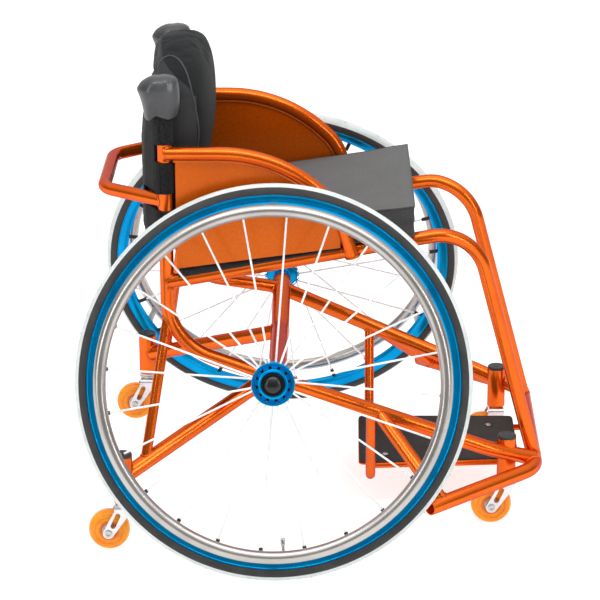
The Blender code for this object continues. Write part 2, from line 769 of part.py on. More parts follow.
mat = plate_mesh("grip_mat", plate_outline(MAT_INSET), MAT_THICKNESS)
new_part("grip_mat", mat, MAT_GRIT,
         (0, 0, PLATE_THICKNESS + GAP + MAT_THICKNESS / 2), plate_frame)

# Side guards: a bent tube from post to rail, and the sheet welded under it
rail_slope = (RAIL_FRONT_Z - RAIL_REAR_Z) / (RAIL_FRONT_X - POST_X)


def rail_height(x):
    """Height of the seat rail's centre line on its straight run."""
    return RAIL_REAR_Z + (x - POST_X) * rail_slope


def rail_half(x):
    """Distance of the seat rail's centre line from the middle on its straight run."""
    share = (x - POST_X) / (RAIL_FRONT_X - POST_X)
    return RAIL_REAR_Y + (RAIL_FRONT_Y - RAIL_REAR_Y) * share


for side, sign in SIDES.items():
    guard_corners = [
        side_at(side, POST_X, GUARD_Y, GUARD_REAR_Z),
        side_at(side, GUARD_CROWN_X, GUARD_Y, GUARD_REAR_Z),
        side_at(side, GUARD_SHOULDER_X, GUARD_Y, GUARD_SHOULDER_Z),
        side_at(side, GUARD_FOOT_X, GUARD_Y, GUARD_FOOT_Z),
    ]
    guard_route = bend_route(guard_corners, [GUARD_CROWN_BEND, GUARD_SHOULDER_BEND], step=12)
    guard_name = f"{side}_guard_tube"
    guard = tube(guard_name, guard_route, GUARD_TUBE, short=(True, False))
    cope(guard, f"{side}_back_post", f"{side}_seat_rail")

    outline = [(PANEL_REAR_X, GUARD_REAR_Z)]
    for place in guard_route[1:]:
        local = place - at(0, 0, 0)
        if local.z > rail_height(local.x) + PANEL_FOOT_RISE + GUARD_TUBE / 4:
            outline.append((local.x, local.z))
    front_x = outline[-1][0]
    outline.append((front_x, rail_height(front_x) + PANEL_FOOT_RISE))
    outline.append((PANEL_REAR_X, rail_height(PANEL_REAR_X) + PANEL_FOOT_RISE))
    sheet = plate_mesh(f"{side}_guard_panel", outline, PANEL_THICKNESS)
    panel = new_part(f"{side}_guard_panel", sheet, FRAME_PAINT, at(0, sign * GUARD_Y, 0))
    panel.rotation_euler = (pi / 2, 0, 0)
    cope(panel, guard_name, f"{side}_back_post")

# Seat sling: web stretched between the rails and wrapped over each of them
SLING_STATIONS = 4
WRAP_STEPS = 5
SPAN_STEPS = 6
facet_reach = cos(SLING_WRAP / WRAP_STEPS / 2) * cos(atan(rail_slope))
sling_radius = (RAIL_TUBE / 2 + GAP) / facet_reach


def sling_row(x):
    """The sling's inner skin across the seat, from one rail's outer side to the other's."""
    half = rail_half(x)
    height = rail_height(x)
    row = []
    for step in range(WRAP_STEPS + 1):
        angle = SLING_WRAP * step / WRAP_STEPS - radians(10)
        row.append((half + sling_radius * cos(angle), height + sling_radius * sin(angle)))
    inner, edge_height = row[-1]
    for step in range(1, SPAN_STEPS):
        share = step / SPAN_STEPS
        y = inner * (1 - 2 * share)
        row.append((y, edge_height - SLING_SAG * (1 - (y / inner) ** 2)))
    for y, z in [(-y, z) for y, z in reversed(row[:WRAP_STEPS + 1])]:
        row.append((y, z))
    return row


sling_body = bmesh.new()
sling_rows = []
for station in range(SLING_STATIONS + 1):
    x = SLING_REAR_X + (SLING_FRONT_X - SLING_REAR_X) * station / SLING_STATIONS
    sling_rows.append([sling_body.verts.new(at(x, y, z)) for y, z in sling_row(x)])
for near, far in zip(sling_rows, sling_rows[1:]):
    for index in range(len(near) - 1):
        sling_body.faces.new((near[index], near[index + 1], far[index + 1], far[index]))
bmesh.ops.recalc_face_normals(sling_body, faces=sling_body.faces)
if sling_body.faces[0].normal.y < 0:
    bmesh.ops.reverse_faces(sling_body, faces=sling_body.faces)
sling_mesh = bpy.data.meshes.new("seat_sling")
sling_body.to_mesh(sling_mesh)
sling_body.free()
sling = new_part("seat_sling", sling_mesh, SLING_WEB)
thicken = sling.modifiers.new("thickness", "SOLIDIFY")
thicken.thickness = SLING_THICKNESS
thicken.offset = 1
thicken.use_even_offset = True
cope(sling, "right_guard_tube", "left_guard_tube")

# Seat cushion: a crowned block whose sides pull in between its corners
CUSHION_GRID = (8, 6, 2)


def cushion_point(u, v, w):
    """A point of the cushion for -1..1 across each of its three directions."""
    lengthwise = (u + 1) / 2
    x = CUSHION_REAR_X + (CUSHION_FRONT_X - CUSHION_REAR_X) * lengthwise
    bulge_u = 1 - u * u
    bulge_v = 1 - v * v
    bulge_w = 1 - w * w
    front_share = max(0.0, (x - GUARD_FOOT_X - GUARD_TUBE) / (CUSHION_FRONT_X - GUARD_FOOT_X))
    swell = min(1.0, front_share * 2)
    half = CUSHION_HALF + (CUSHION_FRONT_HALF - CUSHION_HALF) * swell
    half -= CUSHION_DRAW_IN * bulge_u
    base = rail_height(x) + RAIL_TUBE / 2 + CUSHION_SEAT_RISE
    top = CUSHION_THICKNESS - CUSHION_CROWN + CUSHION_CROWN * bulge_u * bulge_v
    x -= CUSHION_DRAW_IN * bulge_v * bulge_w * (1 if u > 0 else -1) * abs(u) ** 8
    return at(x, v * half, base + top * (w + 1) / 2)


def block_body(counts, place):
    """A box of small faces whose points come from place(u, v, w)."""
    body = bmesh.new()
    made = {}

    def vertex(key):
        if key not in made:
            made[key] = body.verts.new(place(*(2 * n / count - 1 for n, count in zip(key, counts))))
        return made[key]

    for axis in range(3):
        first, second = [other for other in range(3) if other != axis]
        for end in (0, counts[axis]):
            for i in range(counts[first]):
                for j in range(counts[second]):
                    corners = []
                    for step_i, step_j in ((0, 0), (1, 0), (1, 1), (0, 1)):
                        key = [0, 0, 0]
                        key[axis] = end
                        key[first] = i + step_i
                        key[second] = j + step_j
                        corners.append(vertex(tuple(key)))
                    body.faces.new(corners)
    bmesh.ops.recalc_face_normals(body, faces=body.faces)
    return body


cushion_body = block_body(CUSHION_GRID, cushion_point)
cushion_mesh = bpy.data.meshes.new("seat_cushion")
cushion_body.to_mesh(cushion_mesh)
cushion_body.free()
cushion = new_part("seat_cushion", cushion_mesh, SEAT_FABRIC)
bevel(cushion, CUSHION_EDGE, 2, 50)

# Back fabric: a bellied sheet behind the posts, with a sleeve round each post
FABRIC_ACROSS = 8
wrap_back_x = POST_X - WRAP_RADIUS + FABRIC_THICKNESS / 2
wrap_root_y = POST_TOP_Y - WRAP_RADIUS * 0.35


def fabric_back(y):
    """How far back the sheet hangs at a distance from the middle."""
    if abs(y) > FABRIC_CORNER_Y:
        share = (abs(y) - FABRIC_CORNER_Y) / (wrap_root_y - FABRIC_CORNER_Y)
        return FABRIC_CORNER_X + (wrap_back_x - FABRIC_CORNER_X) * share
    return FABRIC_BELLY_X + (FABRIC_CORNER_X - FABRIC_BELLY_X) * (y / FABRIC_CORNER_Y) ** 2


fabric_places = [wrap_root_y]
for step in range(FABRIC_ACROSS + 1):
    fabric_places.append(FABRIC_CORNER_Y * (1 - 2 * step / FABRIC_ACROSS))
fabric_places.append(-wrap_root_y)
fabric_levels = [(FABRIC_FOOT_Z, 0.0), (PUSH_BAR_Z, 0.0), (GUARD_REAR_Z, 0.0),
                 (FABRIC_FOLD_Z, FABRIC_FOLD_GATHER),
                 ((FABRIC_FOLD_Z + FABRIC_TOP_Z) / 2, FABRIC_UPPER_GATHER),
                 (FABRIC_TOP_Z, 1.0)]


def fabric_x(y, z):
    """The sheet's place at a distance from the middle and a height: drawn in at its top."""
    gather = 1.0
    for (low, start), (high, end) in zip(fabric_levels, fabric_levels[1:]):
        if low <= z < high:
            gather = start + (end - start) * (z - low) / (high - low)
    x = fabric_back(y)
    return x + (FABRIC_TOP_X - x) * gather


fabric_body = bmesh.new()
fabric_rows = []
for z, gather in fabric_levels:
    fabric_rows.append([fabric_body.verts.new(at(fabric_x(y, z), y, z)) for y in fabric_places])
for low, high in zip(fabric_rows, fabric_rows[1:]):
    for index in range(len(low) - 1):
        fabric_body.faces.new((low[index], low[index + 1], high[index + 1], high[index]))
fabric_mesh = bpy.data.meshes.new("back_upholstery")
fabric_body.to_mesh(fabric_mesh)
fabric_body.free()
fabric = new_part("back_upholstery", fabric_mesh, BACK_FABRIC)
thicken = fabric.modifiers.new("thickness", "SOLIDIFY")
thicken.thickness = FABRIC_THICKNESS
thicken.offset = 0
CAP_ROOM = 0.030


def on_post(side, z):
    """The back post's centre line at a height on its straight run."""
    post_top = side_at(side, POST_X, POST_TOP_Y, POST_TOP_Z)
    post_foot = side_at(side, POST_X, POST_FOOT_Y, POST_FOOT_Z)
    return on_line(post_top, post_foot, (POST_TOP_Z - z) / (POST_TOP_Z - POST_FOOT_Z))


wrap_bands = [(FABRIC_FOOT_Z + WRAP_INSET, PUSH_BAR_Z - PUSH_WINDOW / 2),
              (PUSH_BAR_Z + PUSH_WINDOW / 2, GUARD_REAR_Z - GUARD_WINDOW / 2),
              (GUARD_REAR_Z + GUARD_WINDOW / 2, WRAP_TOP_Z - WRAP_INSET)]
for side in SIDES:
    near = side_at(side, CAP_X - CAP_HALF_LENGTH - CAP_ROOM, CAP_Y - CAP_ROOM, WRAP_TOP_Z)
    far = side_at(side, CAP_X + CAP_HALF_LENGTH, CAP_Y + CAP_ROOM, FABRIC_TOP_Z + CAP_ROOM)
    low = [min(a, b) for a, b in zip(near, far)]
    high = [max(a, b) for a, b in zip(near, far)]
    boolean(fabric, "DIFFERENCE", new_cutter(f"{side}_cap_room", box_mesh("cap_room", low, high)))
    for number, (low_z, high_z) in enumerate(wrap_bands):
        ends = [on_post(side, low_z), on_post(side, high_z)]
        sleeve = tube_mesh("wrap", ends, WRAP_RADIUS * 2)
        boolean(fabric, "UNION", new_cutter(f"{side}_wrap_{number}", sleeve, ends[0]))
boolean(fabric, "DIFFERENCE", grown("push_bar", SOFT_GAP))
cope(fabric, "right_back_post", "left_back_post")

# Back pad: it lies in the sheet, fullest at mid height, and rounds over at its top
PAD_POINTS = 20
PAD_ACROSS_ROUNDNESS = 0.45
PAD_DEPTH_ROUNDNESS = 0.6
PAD_EDGE_SHARE = 0.86
PAD_SHOULDER_SHARE = 0.6


def pad_front(z):
    """The pad's front on the middle line, rounding over to the top and easing to the foot."""
    if z > PAD_DEEPEST_Z:
        climb = (z - PAD_DEEPEST_Z) / (PAD_TOP_Z - PAD_DEEPEST_Z)
        return PAD_FRONT_X - PAD_CROWN_DEPTH * (1 - sqrt(max(0.0, 1 - climb ** 2)))
    drop = (PAD_DEEPEST_Z - z) / (PAD_DEEPEST_Z - PAD_FOOT_Z)
    return PAD_FRONT_X - PAD_FOOT_RECESS * (1 - cos(pi * drop)) / 2


def pad_ring(z, shrink):
    """One level outline of the pad, made smaller at its two ends."""
    climb = max(0.0, (z - PAD_DEEPEST_Z) / (PAD_TOP_Z - PAD_DEEPEST_Z))
    half = PAD_HALF - (PAD_HALF - PAD_TOP_HALF) * (1 - sqrt(max(0.0, 1 - climb ** 2)))
    lean = PAD_CROWN_BACK * max(0.0, (z - FABRIC_TOP_Z) / (PAD_TOP_Z - FABRIC_TOP_Z))
    middle = pad_front(z)
    ring = []
    for index in range(PAD_POINTS):
        angle = 2 * pi * index / PAD_POINTS
        across = cos(angle)
        depth = sin(angle)
        y = half * shrink * abs(across) ** PAD_ACROSS_ROUNDNESS * (1 if across > 0 else -1)
        front = middle - PAD_SIDE_DEPTH * (y / half) ** 2
        back = fabric_x(y, z) + FABRIC_THICKNESS / 2 + SOFT_GAP + lean
        reach = (front - back) / 2 * shrink
        swing = reach * abs(depth) ** PAD_DEPTH_ROUNDNESS * (1 if depth > 0 else -1)
        ring.append(at((front + back) / 2 + swing, y, z))
    return ring


fabric_heights = [z for z, gather in fabric_levels]
pad_levels = [(PAD_FOOT_Z, PAD_EDGE_SHARE), (PAD_FOOT_Z + PAD_FOOT_EDGE, 1.0)]
for low, high in zip(fabric_heights[1:3], fabric_heights[2:4]):
    pad_levels += [(low, 1.0), ((low + high) / 2, 1.0)]
for z in fabric_heights[3:]:
    pad_levels.append((z, 1.0))
pad_levels += [(on_line(FABRIC_TOP_Z, PAD_TOP_Z, PAD_SHOULDER_SHARE), 1.0),
               (PAD_TOP_Z, PAD_EDGE_SHARE)]
pad_rings = [pad_ring(z, shrink) for z, shrink in pad_levels]
pad = new_part("back_pad", loft_mesh("back_pad", pad_rings), BACK_FABRIC, crease=80)
for side in SIDES:
    boolean(pad, "DIFFERENCE", grown(f"{side}_back_post", SOFT_GAP))

# Post caps: soft hoods with a lobed hem, pulled over the tops of the posts
CAP_POINTS = 16
CAP_LOBES = 4
# Height share and swell of the hood, from its hem to its crown
cap_levels = [(0.0, 0.86), (0.12, 0.95), (0.6, 1.0), (0.85, 0.86), (1.0, 0.40)]


def cap_mesh(name, side, extra=0.0):
    """One hood, or its room in a soft neighbour when it is grown by an extra."""
    rings = []
    for share, swell in cap_levels:
        ring = []
        for index in range(CAP_POINTS):
            angle = 2 * pi * index / CAP_POINTS
            lobe = 1 - CAP_LOBE / CAP_HALF_WIDTH * cos(CAP_LOBES * angle) * (1 - share / 2)
            x = CAP_X + (CAP_HALF_LENGTH * swell * lobe + extra) * cos(angle)
            y = CAP_Y + (CAP_HALF_WIDTH * swell * lobe + extra) * sin(angle)
            z = CAP_FOOT_Z + (CAP_TOP_Z - CAP_FOOT_Z) * share + extra * (2 * share - 1)
            ring.append(side_at(side, x, y, z))
        rings.append(ring)
    return loft_mesh(name, rings)


for side in SIDES:
    cap = new_part(f"{side}_post_cap", cap_mesh(f"{side}_post_cap", side), CAP_LEATHER, crease=80)
    cope(cap, f"{side}_back_post")
    boolean(pad, "DIFFERENCE",
            new_cutter(f"{side}_cap_room_in_pad", cap_mesh("cap_room", side, SOFT_GAP)))

# Main wheels: tyre, rim, pushrim and laced hub turn together on the axle line
section_radius = WHEEL_RADIUS - TYRE_SECTION
seat_radius = RIM_EDGE_RADIUS + GAP
edge_angle = acos((seat_radius - section_radius) / TYRE_SECTION)
crown_angles = [edge_angle, radians(62), CAMBER, 0, -CAMBER, -radians(62), -edge_angle]
tyre_profile = [(section_radius + TYRE_SECTION * cos(a), TYRE_SECTION * sin(a))
                for a in crown_angles]
tyre_profile += [(seat_radius, -BEAD_HALF), (BEAD_RADIUS + GAP, -BEAD_HALF),
                 (BEAD_RADIUS + GAP, BEAD_HALF), (seat_radius, BEAD_HALF)]
bead_wall = BEAD_HALF + GAP
rim_profile = [(RIM_EDGE_RADIUS, RIM_EDGE_HALF), (RIM_EDGE_RADIUS, bead_wall),
               (BEAD_RADIUS, bead_wall), (BEAD_RADIUS, -bead_wall),
               (RIM_EDGE_RADIUS, -bead_wall), (RIM_EDGE_RADIUS, -RIM_EDGE_HALF),
               (RIM_INNER_RADIUS, -RIM_INNER_HALF), (RIM_INNER_RADIUS, RIM_INNER_HALF)]
PUSHRIM_SIDES = 8
pushrim_profile = []
for index in range(PUSHRIM_SIDES):
    angle = pi / PUSHRIM_SIDES - 2 * pi * index / PUSHRIM_SIDES
    pushrim_profile.append((PUSHRIM_RADIUS + PUSHRIM_TUBE / 2 * cos(angle),
                            PUSHRIM_STANDOFF + PUSHRIM_TUBE / 2 * sin(angle)))
hub_profile = [
    (LIP_RADIUS, HUB_TOP), (LIP_RADIUS, HUB_FACE), (FLANGE_RADIUS, HUB_FACE),
    (FLANGE_RADIUS, HUB_FACE - FLANGE_THICKNESS), (BARREL_RADIUS, FLANGE_OUT * 0.75),
    (BARREL_RADIUS, -FLANGE_IN * 0.8), (INNER_FLANGE_RADIUS, -FLANGE_IN + FLANGE_THICKNESS / 2),
    (INNER_FLANGE_RADIUS, -FLANGE_IN - FLANGE_THICKNESS / 2),
    (HUB_BOSS_RADIUS, -FLANGE_IN - FLANGE_THICKNESS / 2), (HUB_BOSS_RADIUS, -HUB_BOSS_END),
    (HUB_BORE, -HUB_BOSS_END), (HUB_BORE, HUB_TOP),
]


def rim_half_width(radius):
    """Half the rim's width at a radius, on its sloping side wall."""
    share = (radius - RIM_INNER_RADIUS) / (RIM_EDGE_RADIUS - RIM_INNER_RADIUS)
    return RIM_INNER_HALF + (RIM_EDGE_HALF - RIM_INNER_HALF) * share


def spoke_routes():
    """Start and end of each spoke, every second one to the outer flange."""
    tip_radius = (RIM_INNER_RADIUS - GAP) * cos(pi / RING_STEPS)
    for number in range(SPOKE_COUNT):
        angle = SPOKE_PHASE + 2 * pi * number / SPOKE_COUNT
        flange = FLANGE_OUT if number % 2 == 0 else -FLANGE_IN
        ray = Vector((cos(angle), sin(angle), 0))
        yield ray * SPOKE_CIRCLE + Vector((0, 0, flange)), ray * tip_radius


def joined(name, meshes_and_places):
    """Several separate closed solids in one mesh, for use as one Boolean operand."""
    body = bmesh.new()
    for mesh, place in meshes_and_places:
        before = len(body.verts)
        body.from_mesh(mesh)
        body.verts.ensure_lookup_table()
        bmesh.ops.translate(body, verts=body.verts[before:], vec=place)
    mesh = bpy.data.meshes.new(name)
    body.to_mesh(mesh)
    body.free()
    return mesh


spoke_solids = [(tube_mesh("spoke", [start, end], SPOKE_DIAMETER, 0), start)
                for start, end in spoke_routes()]
spokes_mesh = joined("spokes", spoke_solids)
tab_inner = PUSHRIM_RADIUS - TAB_THICKNESS / 2
tab_outer = PUSHRIM_RADIUS + TAB_THICKNESS / 2
tab_box = box_mesh("tab", (tab_inner, -TAB_WIDTH / 2, rim_half_width(tab_outer) + GAP),
                   (tab_outer, TAB_WIDTH / 2, PUSHRIM_STANDOFF))
tab_body = bmesh.new()
for number in range(TAB_COUNT):
    before = len(tab_body.verts)
    tab_body.from_mesh(tab_box)
    tab_body.verts.ensure_lookup_table()
    angle = 2 * pi * (number + 0.5) / TAB_COUNT
    bmesh.ops.rotate(tab_body, verts=tab_body.verts[before:], cent=(0, 0, 0),
                     matrix=Matrix.Rotation(angle, 3, "Z"))
tabs_mesh = bpy.data.meshes.new("tabs")
tab_body.to_mesh(tabs_mesh)
tab_body.free()

AXLE_HEAD_FOOT = HUB_TOP + GAP
AXLE_HEAD_TOP = AXLE_HEAD_FOOT + AXLE_HEAD_LENGTH
BUTTON_FOOT = AXLE_HEAD_TOP - BUTTON_SKIRT
RECESS_FLOOR = BUTTON_FOOT - BUTTON_TRAVEL - BUTTON_SPARE
STEM_BORE = (BUTTON_STEM_RADIUS + GAP) / cos(pi / HUB_STEPS)
RECESS_RADIUS = (BUTTON_RADIUS + GAP) / cos(pi / HUB_STEPS)
stem_bore_floor = RECESS_FLOOR - BUTTON_STEM_LENGTH
axle_profile = [
    (RECESS_RADIUS, AXLE_HEAD_TOP), (AXLE_HEAD_RADIUS, AXLE_HEAD_TOP),
    (AXLE_HEAD_RADIUS, AXLE_HEAD_FOOT), (AXLE_RADIUS, AXLE_HEAD_FOOT),
    (AXLE_RADIUS, -BAR_END - AXLE_REACH), (0, -BAR_END - AXLE_REACH),
]
recess_profile = [(0, stem_bore_floor), (STEM_BORE, stem_bore_floor), (STEM_BORE, RECESS_FLOOR),
                  (RECESS_RADIUS, RECESS_FLOOR)]
axle_outline = recess_profile + axle_profile
button_profile = [
    (0, BUTTON_FOOT + BUTTON_RISE), (BUTTON_RADIUS * 0.55, BUTTON_FOOT + BUTTON_RISE * 0.9),
    (BUTTON_RADIUS * 0.9, BUTTON_FOOT + BUTTON_RISE * 0.62),
    (BUTTON_RADIUS, BUTTON_FOOT + BUTTON_SKIRT), (BUTTON_RADIUS, BUTTON_FOOT),
    (BUTTON_STEM_RADIUS, BUTTON_FOOT),
    (BUTTON_STEM_RADIUS, BUTTON_FOOT - BUTTON_STEM_LENGTH),
    (0, BUTTON_FOOT - BUTTON_STEM_LENGTH),
]
for side in SIDES:
    line = WHEEL_FRAMES[side]
    new_part(f"{side}_tyre", turned_mesh("tyre", tyre_profile, RING_STEPS), TYRE_RUBBER,
             parent=line)
    new_part(f"{side}_rim", turned_mesh("rim", rim_profile, RING_STEPS), RIM_BLUE, parent=line)
    ring = new_part(f"{side}_pushrim", turned_mesh("pushrim", pushrim_profile, RING_STEPS),
                    PUSHRIM_SILVER, parent=line)
    boolean(ring, "UNION", new_cutter(f"{side}_tabs", tabs_mesh.copy(), parent=line))
    hub = new_part(f"{side}_spoked_hub", turned_mesh("hub", hub_profile, HUB_STEPS), RIM_BLUE,
                   parent=line)
    boolean(hub, "UNION", new_cutter(f"{side}_spokes", spokes_mesh.copy(), parent=line))
    new_part(f"{side}_axle_pin", turned_mesh("axle", axle_outline, HUB_STEPS, closed=False),
             AXLE_BLACK, parent=line)
    new_part(f"{side}_release_button",
             turned_mesh("button", button_profile, HUB_STEPS, closed=False),
             AXLE_BLACK, parent=line)

# Casters: a swivelling fork, its trailing wheel and the wheel's bolt
bolt_bore = (BOLT_RADIUS + GAP) / cos(pi / BOLT_STEPS)
wheel_bore = (BOLT_RADIUS + GAP) / cos(pi / CASTER_STEPS)
half_width = CASTER_WIDTH / 2
caster_profile = [
    (CASTER_RADIUS - CASTER_SHOULDER, half_width), (CASTER_RADIUS - 0.0012, half_width * 0.7),
    (CASTER_RADIUS, half_width * 0.3), (CASTER_RADIUS, -half_width * 0.3),
    (CASTER_RADIUS - 0.0012, -half_width * 0.7), (CASTER_RADIUS - CASTER_SHOULDER, -half_width),
    (wheel_bore, -half_width), (wheel_bore, half_width),
]
head_seat = FORK_HALF_WIDTH + GAP
head_end = head_seat + BOLT_HEAD_HEIGHT
bolt_profile = [(0, head_end), (BOLT_HEAD_RADIUS, head_end), (BOLT_HEAD_RADIUS, head_seat),
                (BOLT_RADIUS, head_seat), (BOLT_RADIUS, -head_seat),
                (BOLT_HEAD_RADIUS, -head_seat), (BOLT_HEAD_RADIUS, -head_end), (0, -head_end)]


def fork_side_outline():
    """The fork from the side, in (x, z) from the swivel axis and the wheel's centre."""
    eye = (-CASTER_TRAIL, 0)
    half = FORK_LENGTH / 2
    shoulder = FORK_RISE - FORK_CROWN
    points = [(half, FORK_RISE), (-half, FORK_RISE), (-half, shoulder)]

    def tangent(corner, sign):
        across = Vector((corner[0] - eye[0], corner[1] - eye[1]))
        lean = atan2(across.y, across.x)
        return lean + sign * acos(FORK_EYE_RADIUS / across.length)

    start = tangent((-half, shoulder), 1)
    end = tangent((half, shoulder), -1) + 2 * pi
    points += arc(eye, FORK_EYE_RADIUS, start, end, 7)
    points.append((half, shoulder))
    return points


def fork_blank(name):
    """The fork's folded channel, trimmed to its side outline."""
    outer = FORK_HALF_WIDTH
    inner = FORK_HALF_WIDTH - FORK_PLATE
    foot = -FORK_EYE_RADIUS * 2
    channel = [(-outer, foot), (-inner, foot), (-inner, FORK_RISE - FORK_CROWN),
               (inner, FORK_RISE - FORK_CROWN), (inner, foot), (outer, foot),
               (outer, FORK_RISE), (-outer, FORK_RISE)]
    mesh = plate_mesh(name, channel, CASTER_RADIUS * 4)
    body = bmesh.new()
    body.from_mesh(mesh)
    for vert in body.verts:
        x, y, z = vert.co
        vert.co = (z, x, y)
    bmesh.ops.recalc_face_normals(body, faces=body.faces)
    body.to_mesh(mesh)
    body.free()
    return mesh


def across_plate(name, outline, thickness, place=0.0):
    """A plate whose outline is in (x, z), centred on y = place."""
    mesh = plate_mesh(name, outline, thickness)
    body = bmesh.new()
    body.from_mesh(mesh)
    for vert in body.verts:
        x, y, z = vert.co
        vert.co = (x, place - z, y)
    bmesh.ops.recalc_face_normals(body, faces=body.faces)
    body.to_mesh(mesh)
    body.free()
    return mesh


def slot_outline():
    """The obround window that lightens each side of the fork."""
    radius = SLOT_WIDTH / 2
    run = SLOT_LENGTH / 2 - radius
    lean = Vector((sin(SLOT_LEAN), cos(SLOT_LEAN)))
    upper = Vector((SLOT_X, SLOT_Z)) + lean * run
    lower = Vector((SLOT_X, SLOT_Z)) - lean * run
    heading = pi / 2 - SLOT_LEAN
    points = arc(upper, radius, heading - pi / 2, heading + pi / 2, 4)
    points += arc(lower, radius, heading + pi / 2, heading + pi * 1.5, 4)
    return points


def round_across(name, radius, low, high, steps):
    """A cylinder along Y through the wheel's axle."""
    outline = [(-CASTER_TRAIL + x, z) for x, z in arc((0, 0), radius, 0, 2 * pi, steps)[:-1]]
    return across_plate(name, outline, high - low, (low + high) / 2)


def fork_mesh(name, spacer, spindle_top):
    """A whole fork: channel, spindle, boss at each side of the wheel, slot and eye."""
    fork = new_object(name, fork_blank(name))
    side_shape = across_plate("fork_side", fork_side_outline(), FORK_HALF_WIDTH * 4)
    tools = [("INTERSECT", side_shape)]
    boss_seat = half_width + GAP
    boss_root = FORK_HALF_WIDTH - FORK_PLATE / 2
    for low, high in ((boss_seat, boss_root), (-boss_root, -boss_seat)):
        tools.append(("UNION", round_across("boss", FORK_BOSS_RADIUS, low, high, BOLT_STEPS)))
    if spacer > 0:
        collar = cylinder_mesh("collar", HEAD_RADIUS, FORK_RISE - FORK_CROWN / 2,
                               FORK_RISE + spacer, HEAD_STEPS)
        tools.append(("UNION", collar))
    spindle = cylinder_mesh("spindle", SPINDLE_RADIUS, FORK_RISE - FORK_CROWN / 3,
                            spindle_top, SPINDLE_STEPS)
    tools.append(("UNION", spindle))
    tools.append(("DIFFERENCE", across_plate("slot", slot_outline(), FORK_HALF_WIDTH * 4)))
    eye = round_across("eye", bolt_bore, -FORK_HALF_WIDTH * 2, FORK_HALF_WIDTH * 2, BOLT_STEPS)
    tools.append(("DIFFERENCE", eye))
    helpers = []
    for operation, mesh in tools:
        helper = new_cutter("fork_tool", mesh)
        helpers.append(helper)
        boolean(fork, operation, helper)
    result = settled(name, fork)
    for helper in helpers:
        bpy.data.objects.remove(helper, do_unlink=True)
    return result


for side in SIDES:
    for row, (x, y, lift, length, spacer) in CASTER_SITES.items():
        label = f"{side}_{row}_caster"
        centre_height = lift + CASTER_RADIUS
        swivel = empty(f"{label}_swivel", side_at(side, x, y, centre_height))
        spindle_top = head_foot(row) + length - HEAD_CAP_THICKNESS - 0.002 - centre_height
        new_part(f"{label}_fork", fork_mesh(f"{label}_fork", spacer, spindle_top), FORK_SILVER,
                 parent=swivel)
        wheel_mesh = turned_mesh(f"{label}_wheel", caster_profile, CASTER_STEPS)
        wheel = new_part(f"{label}_wheel", wheel_mesh, CASTER_AMBER, (-CASTER_TRAIL, 0, 0), swivel)
        wheel.rotation_euler = (pi / 2, 0, 0)
        bolt_mesh = turned_mesh(f"{label}_bolt", bolt_profile, BOLT_STEPS, closed=False)
        bolt = new_part(f"{label}_bolt", bolt_mesh, BOLT_STEEL, (-CASTER_TRAIL, 0, 0), swivel)
        bolt.rotation_euler = (pi / 2, 0, 0)
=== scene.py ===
from math import acos, atan2, ceil, copysign, cos, exp, pi, radians, sin, sqrt, tan

import bmesh
import bpy
import numpy as np
from mathutils import Euler, Matrix, Vector
from mathutils.bvhtree import BVHTree


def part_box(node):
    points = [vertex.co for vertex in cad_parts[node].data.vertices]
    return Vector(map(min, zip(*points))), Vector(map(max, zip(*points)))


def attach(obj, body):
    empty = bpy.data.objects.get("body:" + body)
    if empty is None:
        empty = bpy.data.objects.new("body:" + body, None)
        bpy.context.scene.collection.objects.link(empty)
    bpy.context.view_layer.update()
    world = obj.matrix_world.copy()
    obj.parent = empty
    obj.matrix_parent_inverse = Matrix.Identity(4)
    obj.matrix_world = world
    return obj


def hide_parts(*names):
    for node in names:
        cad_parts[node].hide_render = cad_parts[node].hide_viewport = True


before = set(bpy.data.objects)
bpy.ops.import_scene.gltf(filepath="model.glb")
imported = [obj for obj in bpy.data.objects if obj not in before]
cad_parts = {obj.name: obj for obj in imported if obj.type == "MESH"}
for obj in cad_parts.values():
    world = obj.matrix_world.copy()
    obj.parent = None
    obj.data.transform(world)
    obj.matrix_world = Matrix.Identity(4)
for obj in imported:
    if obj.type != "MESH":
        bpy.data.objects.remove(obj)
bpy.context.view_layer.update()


# The studio: a white floor that runs out of sight, a grey room with a bright ceiling for the paint
# and the chrome to mirror, soft lamps, and the camera at the right side, above the wheels.
class Wire:
    """One output of a node, with the arithmetic that Math nodes do."""

    def __init__(self, board, socket):
        self.board = board
        self.socket = socket

    def out(self, name):
        return Wire(self.board, self.socket.node.outputs[name])

    def __add__(self, other):
        return self.board.math("ADD", self, other)

    def __radd__(self, other):
        return self.board.math("ADD", other, self)

    def __sub__(self, other):
        return self.board.math("SUBTRACT", self, other)

    def __rsub__(self, other):
        return self.board.math("SUBTRACT", other, self)

    def __mul__(self, other):
        return self.board.math("MULTIPLY", self, other)

    def __rmul__(self, other):
        return self.board.math("MULTIPLY", other, self)

    def __truediv__(self, other):
        return self.board.math("DIVIDE", self, other)

    def __mod__(self, other):
        return self.board.math("FLOORED_MODULO", self, other)

    def __abs__(self):
        return self.board.math("ABSOLUTE", self)

    def sine(self):
        return self.board.math("SINE", self)

    def smooth(self, low, high):
        """0 below low, 1 above high, eased in between."""
        return self.board.node("ShaderNodeMapRange", {"interpolation_type": "SMOOTHSTEP"},
                               {"Value": self, "From Min": low, "From Max": high})


